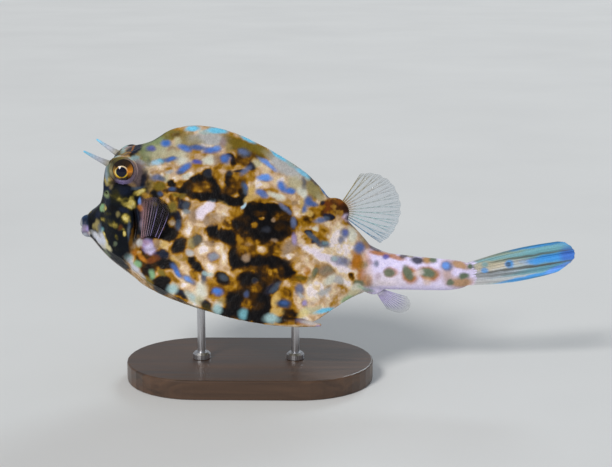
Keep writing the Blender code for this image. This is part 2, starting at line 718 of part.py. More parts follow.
def stand(collection):
    corner, steps = 0.5 * BASE_WIDTH, 20
    straight = BASE_LENGTH / 2 - corner
    outline = bpy.data.curves.new("stand_base", "CURVE")
    outline.dimensions = "2D"
    outline.fill_mode = "BOTH"
    outline.extrude = BASE_HEIGHT / 2 - 0.001
    outline.bevel_depth = 0.001
    outline.bevel_resolution = 2
    turns = [math.radians(-90 + 180 * n / steps) for n in range(steps + 1)]
    ends = [(straight + corner * math.cos(a), corner * math.sin(a)) for a in turns]
    ends += [(-x, -y) for x, y in ends]
    spline = outline.splines.new("POLY")
    spline.points.add(len(ends) - 1)
    for point, (x, y) in zip(spline.points, ends):
        point.co = (x, y, 0, 1)
    spline.use_cyclic_u = True
    flat = bpy.data.objects.new("outline", outline)
    collection.objects.link(flat)
    flat.location = (BASE_CENTRE_X, 0, BASE_HEIGHT / 2)
    bpy.context.view_layer.update()
    mesh = evaluated_mesh(flat)
    mesh.transform(flat.matrix_world)
    shape = bmesh.new()
    shape.from_mesh(mesh)
    bmesh.ops.remove_doubles(shape, verts=shape.verts, dist=1e-6)
    shape.to_mesh(mesh)
    shape.free()
    bpy.data.objects.remove(flat, do_unlink=True)
    base = bpy.data.objects.new("stand_base", mesh)
    collection.objects.link(base)
    base.data.materials.clear()
    base.data.materials.append(material("stand_wood", 0.4))
    for name, x in ROD_PLACES.items():
        rod(name, x, collection)


def rod(name, x, collection):
    """A turned rod with a collar at its foot. The body, grown by the gap, shapes its top."""
    foot = BASE_HEIGHT + GAP
    profile = bpy.data.meshes.new("rod_profile")
    outline = (
        (0.0, ROD_TOP),
        (ROD_RADIUS, ROD_TOP),
        (ROD_RADIUS, foot + COLLAR_HEIGHT),
        (COLLAR_RADIUS * 0.8, foot + COLLAR_HEIGHT),
        (COLLAR_RADIUS, foot + COLLAR_HEIGHT * 0.7),
        (COLLAR_RADIUS, foot),
        (0.0, foot),
    )
    edges = [(n, n + 1) for n in range(len(outline) - 1)]
    profile.from_pydata([(r, 0, z) for r, z in outline], edges, [])
    obj = bpy.data.objects.new(name, profile)
    collection.objects.link(obj)
    screw = obj.modifiers.new("Turn", "SCREW")
    screw.steps = screw.render_steps = ROD_SIDES
    screw.use_merge_vertices = True
    screw.merge_threshold = 1e-6
    obj.data = evaluated_mesh(obj)
    obj.modifiers.clear()
    obj.data.transform(Matrix.Translation((x, 0, 0)))
    cut_by_body(obj)
    obj.data.materials.append(material("stand_steel", 0.3, 1.0))


def build_body_tree():
    """A tree for casting lines onto the carapace, plates and all."""
    grown = BODY_CUTTER.copy()
    grow(grown, -GAP)
    shape = bmesh.new()
    shape.from_mesh(grown)
    tree = BVHTree.FromBMesh(shape)
    shape.free()
    bpy.data.meshes.remove(grown)
    return tree


clear_scene()
BODY_CUTTER = body_cutter_mesh()
BODY_TREE = build_body_tree()
cowfish = named_collection("scrawled_cowfish")
head(cowfish)
trunk(cowfish)
stalk_object = tail_stalk(cowfish)
stalk_object.data.materials.append(material("stalk_skin"))
eyes(cowfish)
horns(cowfish)
lips(cowfish)
ventral_spines(cowfish)
dorsal_fin(cowfish)
anal_fin(cowfish)
pectoral_fins(cowfish)
tail_fin(cowfish)
stand(cowfish)
for node in cowfish.objects:
    node.data.set_sharp_from_angle(angle=math.radians(40))
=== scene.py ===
import math
from collections import namedtuple

import bmesh
import bpy
import numpy as np
from mathutils import Matrix, Vector
from mathutils.kdtree import KDTree


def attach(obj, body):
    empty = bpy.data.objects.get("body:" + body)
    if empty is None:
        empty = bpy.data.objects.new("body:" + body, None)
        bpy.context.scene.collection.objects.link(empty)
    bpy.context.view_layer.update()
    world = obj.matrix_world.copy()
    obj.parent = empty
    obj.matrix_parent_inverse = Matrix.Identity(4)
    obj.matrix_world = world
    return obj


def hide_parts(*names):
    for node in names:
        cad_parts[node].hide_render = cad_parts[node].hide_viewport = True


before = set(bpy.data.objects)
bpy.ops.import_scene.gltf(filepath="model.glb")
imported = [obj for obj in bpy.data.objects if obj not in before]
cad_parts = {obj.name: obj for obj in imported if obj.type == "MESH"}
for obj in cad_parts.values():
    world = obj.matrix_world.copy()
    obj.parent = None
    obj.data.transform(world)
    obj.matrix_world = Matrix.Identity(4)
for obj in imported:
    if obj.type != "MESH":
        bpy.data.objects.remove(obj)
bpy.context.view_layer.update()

TOTAL_LENGTH = 0.300
MM = TOTAL_LENGTH / 300

# The carapace's sections, as in the solids: a point on the back and one under the belly, both in the
# plane of symmetry and in millimetres, and the sizes of the half section between them.
Station = namedtuple("Station", "back_x back_z under_x under_z half_width ridge crest crest_drop fullness")
STATIONS = (
    Station(-145.5, 101.5, -145.0, 89.5, 4.8, 0.76, 2.6, 0.02, 1.00),
    Station(-141.6, 106.3, -141.0, 85.2, 9.2, 0.78, 5.6, 0.02, 1.00),
    Station(-137.0, 111.0, -137.0, 80.8, 13.2, 0.78, 9.2, 0.01, 1.00),
    Station(-133.8, 119.0, -132.6, 76.4, 17.2, 0.79, 13.4, -0.01, 1.00),
    Station(-132.4, 128.2, -127.8, 72.4, 20.8, 0.79, 17.0, -0.02, 1.00),
    Station(-129.8, 135.4, -122.8, 68.8, 23.8, 0.80, 18.8, -0.03, 1.00),
    Station(-121.0, 139.2, -117.2, 64.8, 26.6, 0.82, 17.4, -0.03, 0.85),
    Station(-107.4, 146.6, -110.9, 60.4, 30.2, 0.865, 8.0, 0.01, 0.42),
    Station(-94.0, 154.6, -97.0, 53.8, 34.8, 0.892, 3.0, 0.012, 0.14),
    Station(-78.0, 157.0, -79.0, 48.5, 38.6, 0.926, 1.9, 0.010, 0.03),
    Station(-60.0, 153.9, -60.0, 44.8, 40.7, 0.950, 1.8, 0.010, 0.00),
    Station(-42.0, 146.2, -42.0, 42.3, 41.2, 0.959, 1.8, 0.010, 0.00),
    Station(-26.0, 137.1, -26.0, 41.0, 40.6, 0.966, 1.8, 0.010, 0.00),
    Station(-13.0, 128.2, -14.0, 41.4, 39.0, 0.970, 1.8, 0.012, 0.00),
    Station(-3.0, 118.0, -5.0, 44.4, 35.0, 0.955, 1.9, 0.015, 0.02),
    Station(5.0, 108.2, 4.0, 48.6, 27.2, 0.945, 2.2, 0.020, 0.08),
    Station(14.0, 97.6, 13.4, 52.8, 19.0, 0.925, 2.6, 0.030, 0.22),
    Station(24.6, 86.2, 24.2, 56.4, 10.6, 0.880, 3.4, 0.060, 0.55),
)
# The station that ends the head, behind which the trunk's columns of plates start
HEAD_END = 7
# Rows run round the carapace from 0 on the back to 1 under the belly
CREST_ROW, RIDGE_ROW = 0.10, 0.72
# How far the side stands out at quarters of the way down to the ridge, as shares of the half width.
# A station's fullness leads from the trunk's shares to the head's.
SIDE_QUARTERS = (0.25, 0.50, 0.75)
TRUNK_SIDE = (0.215, 0.525, 0.790)
HEAD_SIDE = (0.900, 0.960, 0.985)
BELLY_SAG = 0.45
# The tail stalk's sections: x, its top, its underside and half its width
STALK_SIZES = (
    (25.0, 84.6, 57.4, 9.2),
    (34.0, 80.2, 56.7, 7.8),
    (48.0, 77.9, 56.5, 6.4),
    (64.0, 76.2, 56.2, 5.2),
    (76.0, 75.2, 56.5, 4.0),
    (83.0, 73.9, 58.0, 2.6),
    (85.5, 73.0, 59.2, 1.7),
)
# The stalk's last scales, which thin out over the root of the tail fin
STALK_END = ((88.5, 72.4, 59.8, 0.95), (91.5, 71.0, 61.0, 0.4))
SIDE_PLATE_ROWS, BELLY_PLATE_ROWS, TRUNK_COLUMNS = 8, 3, 20

EYE_CENTRE, EYE_RADIUS = (-120.8, 18.2, 133.2), 8.6
ORBIT_RADIUS, ORBIT_RIM, ORBIT_OUT = 8.7, 1.25, 2.0
EYE_LOOK = (0.02, 0.976, 0.035)
HORN_ROOT, HORN_TIP = (-124.5, 17.2, 134.5), (-142.6, 23.0, 145.0)
HORN_RADII, HORN_RISE = (3.4, 2.3, 1.7, 1.3, 1.0, 0.55), 1.2
SPINE_ROOT, SPINE_TIP = (-26.0, 37.0, 47.0), (-3.8, 41.6, 45.6)
SPINE_RADII = (4.6, 4.0, 3.3, 2.6, 1.8, 0.9)
NOSTRIL_AT, NOSTRIL_RADIUS = (-131.0, 119.5), 0.9
GILL_TOP, GILL_FOOT, GILL_WIDTH = (-113.0, 113.0), (-113.6, 92.5), 1.5
# The depths of the plates' grooves, the gill slits and the nostrils, and the height of the gill's lid
GROOVE_DEPTH, GILL_DEPTH, NOSTRIL_DEPTH, LID_HEIGHT = 0.13, 2.0, 1.3, 0.45
# The middle of the mouth as x and z
MOUTH_CENTRE, MOUTH_HALF_WIDTH, MOUTH_HALF_HEIGHT = (-145.9, 95.6), 3.5, 3.1
SNOUT_CENTRE, SNOUT_RADII = (-139.0, 0.0, 96.8), (8.2, 9.6, 10.4)
LIP_THICKNESS, LIP_REACH, LIP_SWELL = 3.0, 4.3, 0.26
PECTORAL_AT = (-104.6, 91.5)

# Where one look gives way to the next along the fish, each from x to x
LIP_JOINT, LIP_REAR = -142.0, (-145.4, -143.4)
PLATES_START, PLATES_FULL, PLATES_END = (-141, -128), (-118, -96), (16, 22)
FACE_REAR, CHIN_REAR, THROAT_REAR = (-110, -98), (-122, -108), (-88, -66)
WHITE_CHIN_REAR = (-128.0, -108.0)
STALK_START, TAIL_SCALES_END = (17.0, 27.0), (87.5, 90.5)
# Within CORNER_WIDTH of the middle, the marks of the side are carried on across the front
CORNER_WIDTH, CORNER_SHARE = 18, 0.9
# The pale line down the snout: where its half width ends and the heights over which it starts
SNOUT_LINE_HALF, SNOUT_LINE_TOP = (0.6, 1.8), (108, 115)

# A fleshy fin base: an ellipsoid leant back by some degrees
Lobe = namedtuple("Lobe", "centre radii lean")
DORSAL_LOBE = Lobe((5.2, 0.0, 105.6), (9.0, 2.9, 7.6), 49)
ANAL_LOBE = Lobe((27.5, 0.0, 58.4), (7.0, 2.6, 5.6), 10)
PECTORAL_RADII = (6.2, 3.4, 5.2)

# The camera, with the photograph's frame and lens
TARGET = (-0.0134, 0.0, 0.0913)
DISTANCE, AZIMUTH, ELEVATION = 0.85, 1.0, 12.5
IMAGE_WIDTH, IMAGE_HEIGHT, FOCAL_PIXELS, SENSOR = 612, 467, 1400.0, 36.0

# The size of the skin's voxels and half the thickness of a fin's web, in millimetres
VOXEL, WEB_HALF = 0.55, 0.09
# Each pass of the first smoothing goes in by one share and out again by a little more, which keeps
# the volume. The joints of the forms then take many passes inward.
SMOOTH_PASSES, STEP_IN, STEP_OUT, JOINT_PASSES = 3, 0.5, -0.53, 36
FLOOR_RADIUS = 6.0

# Colours of the living fish, as red, green and blue from 0 to 255
INKS = {
    "white": (240, 226, 226), "milk": (236, 222, 236), "ivory": (216, 216, 200),
    "bone": (194, 188, 154), "cream": (232, 208, 168), "peach": (216, 184, 152), "tan": (192, 156, 112),
    "fawn": (158, 134, 112), "honey": (204, 170, 98), "ochre": (176, 130, 48), "gold": (150, 104, 6),
    "bronze": (118, 98, 26), "brown": (100, 64, 2), "umber": (54, 32, 3), "soot": (30, 19, 10),
    "black": (9, 7, 9), "abyss": (7, 12, 20), "navy": (24, 32, 52), "slate": (74, 90, 112),
    "denim": (72, 102, 164), "blue": (72, 122, 206), "sky": (110, 160, 242), "violet": (84, 90, 178),
    "dusk": (100, 114, 154), "lagoon": (38, 66, 104), "cyan": (118, 206, 242), "frost": (172, 212, 234),
    "ice": (160, 192, 194), "teal": (112, 168, 180), "azure": (66, 152, 224), "haze": (134, 150, 160),
    "mist": (112, 148, 178), "pearl": (184, 184, 184), "chin": (190, 194, 206),
    "lilac": (230, 220, 255), "wisteria": (164, 148, 204), "heather": (150, 134, 160),
    "mauve": (154, 132, 132), "rose": (164, 126, 134), "plum": (38, 28, 40), "rust": (118, 60, 20),
    "orange": (182, 112, 32), "amber": (232, 142, 12), "lemon": (240, 206, 40),
    "celadon": (136, 151, 106), "khaki": (150, 138, 92), "olive": (122, 108, 44), "moss": (54, 50, 20),
    "sage": (106, 120, 100), "mint": (134, 176, 132), "yellow": (200, 178, 92),
    "straw": (220, 204, 132), "groove": (88, 88, 80),
}

# Tones from dark to pale, through which neighbouring marks melt into each other
EARTH = (
    (0.0, "black"), (0.12, "soot"), (0.25, "umber"), (0.37, "brown"), (0.49, "gold"),
    (0.60, "ochre"), (0.70, "tan"), (0.80, "peach"), (0.90, "cream"), (1.0, "white"),
)
MASK = ((0.0, "abyss"), (0.3, "moss"), (0.55, "olive"), (0.8, "yellow"), (1.0, "straw"))

# A mark: its middle, half its length and half its width in pixels, and its tilt in degrees, which
# rises to the right above 0
Patch = namedtuple("Patch", "ink u v length width tilt strength soft", defaults=(0, 0.9, 0.5))


def patches(*rows):
    return [Patch(*row) for row in rows]


# Marks on the near side, placed in the photograph's frame, each with its strength and the
# softness of its edge where they aren't the usual ones. Later marks lie over earlier ones. First the
# ground of the head and trunk, then its dark and its light marks.
GROUND = patches(
    ("cream", 328, 262, 36, 34, 0, 1, 0.4), ("celadon", 152, 147, 17, 11, 25, 0.95),
    ("celadon", 161, 138, 12, 5, 28, 0.85), ("bone", 160, 156, 14, 6, 0, 0.8, 0.6),
    ("bone", 164, 149, 11, 6, 0, 0.6, 0.6), ("olive", 173, 135, 10, 4.5, 12),
    ("brown", 179, 135.5, 7, 2.6, 0, 0.7), ("khaki", 187, 141, 8, 8, 0, 0.85), ("bone", 178, 142, 4, 4.5),
    ("pearl", 209, 139.5, 18, 7, 0, 0.95, 0.45), ("khaki", 197, 142, 6, 5, 0, 0.6, 0.6),
    ("white", 208, 146, 8, 1.8, -8, 0.6, 0.6), ("mauve", 223.5, 142.5, 3, 5, 0, 0.8),
    ("khaki", 229, 146, 4, 6, -20, 0.7, 0.6), ("bronze", 232, 139, 9, 4.5, -22, 0.7, 0.6),
    ("fawn", 172, 149, 4, 2, 0, 0.8), ("ivory", 183, 158, 8, 6.5, 0, 0.95, 0.55),
    ("bone", 176, 154, 7, 4, 0, 0.7, 0.6), ("ochre", 197, 155, 11, 5.5, 0, 0.8, 0.55),
    ("ochre", 211, 154, 6, 2.4, -10, 0.8), ("ivory", 209, 160, 7, 4.6, 0, 0.95),
    ("fawn", 217, 160, 3.5, 5, 0, 0.8), ("tan", 193, 167, 9, 4, 25), ("cream", 147, 170, 5, 7.5, 0, 1),
    ("cream", 157, 167.5, 8, 3.2), ("tan", 159, 172.6, 9, 2, 0, 0.8),
    ("brown", 168, 168, 3.5, 1.8, 0, 0.45, 0.6), ("pearl", 169.5, 172, 4.5, 2.4),
    ("bone", 166.5, 178, 3.5, 4, 0, 0.95), ("cream", 176, 177, 8, 3.5, 0, 0.8),
    ("ivory", 187, 176.3, 5, 2.6, 15, 0.8), ("tan", 147.5, 179, 2.4, 5, 0, 0.8),
    ("honey", 150, 186, 3.8, 5.6, 0, 1), ("bronze", 159, 187, 7.5, 4.6, 0, 1, 0.45),
    ("gold", 181, 184, 8, 4, -5, 0.85), ("bronze", 249, 149, 17, 6.5, -25, 1, 0.45),
    ("bronze", 236, 144.5, 8, 3, -20), ("olive", 260, 148, 8, 3, -35, 0.8),
    ("khaki", 269, 155, 8, 3.6, -36), ("brown", 252, 157, 8, 4.5, -10),
    ("pearl", 287, 168, 21, 8, -38, 0.95, 0.45), ("bone", 257.5, 163, 5, 5), ("peach", 264, 170, 10, 4),
    ("white", 256, 184, 7, 5, 0, 0.95), ("cream", 267, 184.5, 7, 3.4),
    ("tan", 271, 189, 8, 4.5, 0, 0.7, 0.6), ("white", 285, 178.5, 9, 4, -12, 0.7, 0.6),
    ("bone", 295, 184, 8, 7, -30, 0.8, 0.6), ("ivory", 302.5, 192, 4.5, 5, 0, 0.95),
    ("slate", 303.8, 183, 2.4, 6, 8, 0.6, 0.6), ("ice", 307.5, 178.5, 3, 3, 0, 0.7),
    ("khaki", 314, 190, 10, 6.5, -50, 0.95, 0.45), ("bone", 321, 197.5, 5, 3, -45, 0.5, 0.6),
    ("ivory", 277, 196.5, 9.5, 3.4, -30, 0.95), ("peach", 291, 198, 7, 3, -10, 0.8),
    ("tan", 288, 203, 8, 2.6, -25, 0.8), ("fawn", 294, 203, 3.4, 2.6, 0, 0.7),
    ("honey", 302, 206, 2.4, 8, 5, 0.8), ("cream", 297, 213, 8, 3.6, -55, 1, 0.45),
    ("ochre", 252, 174, 3.2, 10, 6), ("honey", 251, 192, 3.5, 8, -14),
    ("gold", 261, 200.6, 15, 3.8, 3, 1, 0.4), ("honey", 254, 198, 6, 2.6, 15, 0.8),
    ("cream", 246.5, 200.5, 4, 3.6, 35, 0.95), ("tan", 188, 225, 9.5, 23, 5, 1, 0.4),
    ("fawn", 193, 216, 5, 8, 0, 0.8), ("cream", 183.5, 214.5, 3.6, 4.6, 0, 0.95),
    ("white", 187, 231, 4.6, 6), ("peach", 186, 223, 5, 4, 0, 0.8), ("tan", 201, 224, 4.5, 10),
    ("ochre", 194, 201, 8, 2.6, 0, 0.8), ("tan", 192, 206, 5, 4, 0, 0.8),
    ("tan", 217, 219.5, 12, 4.5, 0, 1, 0.4), ("peach", 218, 213, 9, 4),
    ("cream", 219.5, 208.5, 6, 4.5, -30, 0.95, 0.45), ("cream", 226.5, 213.5, 4.5, 3, -35),
    ("honey", 224, 204, 6.5, 2, -38), ("milk", 206.5, 208, 10.5, 4.6, 48, 1, 0.35),
    ("milk", 200.5, 215.5, 4.4, 4.4), ("frost", 212.5, 199.8, 3, 1.8),
    ("fawn", 206.5, 222, 3.4, 4.4, 0, 0.85), ("tan", 176, 236, 5.5, 3.4, 15, 0.95, 0.45),
    ("tan", 170.6, 222, 3.4, 5, -15, 0.95, 0.45), ("peach", 213, 256, 18, 16, 0, 1, 0.35),
    ("tan", 196, 250, 6, 5), ("khaki", 192, 243, 4, 5, 0, 0.8), ("tan", 229, 262, 5, 11, 0, 0.8),
    ("fawn", 210, 243.5, 9, 2.6, 0, 0.8), ("olive", 181, 258.5, 8, 2.6, -10, 0.85),
    ("honey", 176, 262, 7.5, 3, -50, 0.95, 0.45), ("cream", 187, 272, 10, 3.6, -42),
    ("gold", 195, 277, 8, 3, -40), ("cream", 182, 280, 8, 4, -30, 0.95, 0.45),
    ("cream", 193, 287, 14, 5.5, -22, 1, 0.4), ("ivory", 202, 290, 6, 8),
    ("ice", 191, 300, 9, 6.4, -30, 0.9, 0.55), ("bone", 200, 300, 5, 4.4),
    ("gold", 218, 287, 12, 11, 0, 1, 0.4), ("ochre", 213, 280.5, 6, 2.8, 0, 0.8),
    ("tan", 228.5, 288, 3.8, 4.6, 0, 0.95), ("khaki", 222, 301, 5, 3.6, 0, 0.6, 0.6),
    ("brown", 238, 250, 8, 16, 0, 1, 0.4), ("brown", 264, 249, 28, 6.5, 0, 1, 0.4),
    ("umber", 256, 288, 24, 22, 0, 1, 0.4), ("brown", 236, 280, 6, 12),
    ("gold", 284, 297, 15, 17, 0, 1, 0.4), ("fawn", 291, 251, 9, 12, 0, 0.95), ("tan", 301, 254, 9, 8, -15),
    ("white", 289.5, 256.5, 4.6, 3.2), ("gold", 303, 223, 7, 6, -10, 0.85),
    ("ochre", 324, 232, 9, 10, -25, 0.95, 0.45), ("brown", 321, 239, 6, 4, 0, 0.6, 0.6),
    ("gold", 318, 210, 12, 6, 20), ("white", 337, 233, 7, 16, 5, 0.8),
    ("peach", 332, 226, 3.4, 6, 0, 0.7, 0.6), ("ivory", 352, 235, 4.5, 9, 8),
    ("white", 350, 252, 6, 9, -10, 0.95), ("white", 334, 243, 5, 7),
    ("orange", 356, 261, 5, 9, 5, 0.85, 0.6), ("khaki", 366, 243, 6, 4, -30, 0.7, 0.6),
    ("peach", 323, 250, 11, 3.6, -20), ("peach", 321, 266, 14, 7, -22, 0.95),
    ("fawn", 316, 262, 4, 3, 0, 0.5, 0.6), ("fawn", 326, 271, 9, 6, -30),
    ("sage", 330, 268, 9, 3, 30, 0.4, 0.6), ("white", 340, 289, 12, 6, 32, 0.7, 0.6),
    ("cream", 312, 298, 8, 14, 10, 1, 0.4), ("peach", 330, 296, 18, 8, 30), ("bone", 353, 294, 11, 5, 30),
    ("bone", 310, 311, 10, 4, 8), ("gold", 309, 219, 10, 5, 25, 0.95), ("ochre", 318, 236, 12, 5, -25),
    ("ochre", 304, 233, 5, 8, 10, 0.8), ("brown", 328, 210, 8, 4, 20), ("brown", 145, 258, 14, 8, -40, 1),
    ("ochre", 160, 245, 12, 7, 0, 0.95), ("peach", 168, 290, 34, 6, -32, 0.7, 0.6),
    ("white", 276, 180, 12, 6, -35, 0.7, 0.6), ("rust", 329, 206, 8, 6, 30, 0.95),
)
DARK = patches(
    ("black", 171, 183.5, 4.2, 3.6, 0, 0.95, 0.45), ("navy", 171.5, 189.3, 4.4, 2.8, 0, 0.95, 0.45),
    ("black", 154, 195, 4.6, 5.6, -10, 0.95, 0.45), ("navy", 160, 193.5, 3.4, 3.4, 0, 0.95, 0.45),
    ("soot", 156, 200.5, 4.5, 3, -20), ("umber", 165, 191.5, 4, 2.4, 0, 0.8),
    ("black", 182, 190, 7, 3, 0, 0.93), ("umber", 172, 198, 3, 4.4, 0, 0.95), ("umber", 180, 199.5, 5, 3.4),
    ("navy", 184, 205.5, 6, 4.4, 0, 0.93), ("black", 189, 188, 7, 6.5, 35, 0.97, 0.45),
    ("black", 198, 178.5, 9, 4.5, 14, 0.97, 0.45), ("black", 208.5, 174, 5.5, 5.5, 0, 0.97, 0.45),
    ("black", 204, 197, 16, 4.4, -6, 0.97, 0.45), ("black", 216, 189, 4.6, 10, 20, 0.97, 0.45),
    ("black", 211, 180, 3, 5, 20, 0.96), ("black", 229, 180, 4.6, 8, 5, 0.95, 0.45),
    ("navy", 239.5, 170.6, 6, 2, 5), ("black", 233, 161, 2.4, 6.5, 5),
    ("black", 230.5, 155, 3, 2.6, 0, 0.85), ("black", 233, 201.5, 13, 5, -3, 0.97, 0.45),
    ("black", 242, 193.5, 3.6, 7, 12, 0.93), ("black", 221, 197, 8, 4.4, -10, 0.96),
    ("navy", 250, 165.5, 4, 4, 0, 0.85), ("black", 267, 223, 27, 20, -3, 0.97, 0.38),
    ("black", 250, 211, 9, 7, 0, 0.96), ("black", 270, 207, 16, 4, -6, 0.96),
    ("navy", 177, 216, 4.4, 5, 0, 0.9, 0.45), ("slate", 178, 225, 3.2, 5.5, -8, 0.95, 0.45),
    ("black", 178.5, 246.5, 9.8, 6.8, 48, 0.97, 0.45), ("black", 194.5, 264.5, 11.5, 5, -50, 0.93),
    ("slate", 204.5, 277, 2.8, 6, -10, 0.85), ("ice", 208, 274, 5, 2.2, 0, 0.75),
    ("black", 223, 277.5, 7.8, 5, -25, 0.97, 0.45), ("groove", 198, 240, 5, 5.4, 0, 0.95, 0.45),
    ("black", 213, 231, 8, 6.5, 0, 0.97, 0.45), ("black", 229, 237, 14, 7, -10, 0.97, 0.45),
    ("umber", 214, 240, 6, 3, 0, 0.7), ("black", 234, 258.5, 5, 10, 0, 0.97, 0.45),
    ("black", 265, 262.5, 31, 7, 0, 0.97, 0.38), ("black", 288, 271, 8, 8, 0, 0.97, 0.45),
    ("soot", 300, 269, 5.5, 3.4), ("black", 250, 279.5, 10, 6.6, 5, 0.97, 0.38),
    ("black", 235, 303, 9.5, 12, 0, 0.97, 0.45), ("black", 264, 300, 6, 13, 5, 0.93),
    ("black", 258, 313.5, 13, 6, 0, 0.97, 0.45), ("navy", 206, 303.5, 5.5, 3.6, -20),
    ("navy", 180.5, 294, 6, 3.4, -40), ("navy", 273, 288, 9.5, 3.4, 40, 0.93),
    ("umber", 290, 313.5, 10, 3.6, -3, 0.95, 0.45), ("soot", 286, 319.5, 13, 3.4, -2, 0.93),
    ("navy", 309, 233, 5, 2.4, -15, 0.9, 0.45), ("slate", 314, 240.5, 6, 3, -30, 0.96),
    ("navy", 312, 242, 3, 2, -30, 0.7), ("navy", 329, 216.5, 5.5, 3, -10, 0.95, 0.45),
    ("navy", 323, 203, 2.6, 2.2, 0, 0.8), ("umber", 351.5, 276, 2.8, 4),
    ("black", 358, 212, 14, 14, 0, 0.96), ("black", 152, 222, 16, 22, 0, 0.97, 0.38),
    ("black", 163, 233, 11, 9, 0, 0.97, 0.45), ("black", 164, 213, 8, 9, 0, 0.96),
    ("navy", 162, 254.5, 8, 4.4, -8, 0.93), ("black", 164, 264, 13, 6, -8, 0.97, 0.45),
    ("black", 163, 281, 7.5, 8.5, -40, 0.97, 0.45), ("umber", 149, 267, 7, 6, -35),
    ("soot", 147, 270, 9, 6.5, -42, 0.95), ("umber", 141, 262, 6, 3, -35, 0.8),
    ("umber", 181, 297, 7, 3, -35, 0.8), ("black", 205, 304.5, 5, 3, -15, 0.7),
    ("black", 226, 311, 11, 3, -14), ("navy", 120, 262, 12, 3.4, -48, 0.8),
    ("black", 226, 313.5, 12, 4, -14, 0.95), ("black", 258, 318.5, 17, 5.4, -4, 0.96, 0.45),
    ("moss", 206, 307.5, 6, 4, -15, 0.8), ("umber", 181, 300, 7, 4, -35),
    ("black", 161, 288, 9, 7, -42, 0.95), ("umber", 288, 322.5, 14, 3, -2, 0.8), ("black", 170, 213, 6, 6),
    ("black", 171, 234, 7, 6), ("soot", 150, 279, 10, 4, -45, 0.7, 0.6),
    ("soot", 237, 224, 6, 7.5, 0, 0.95),
)
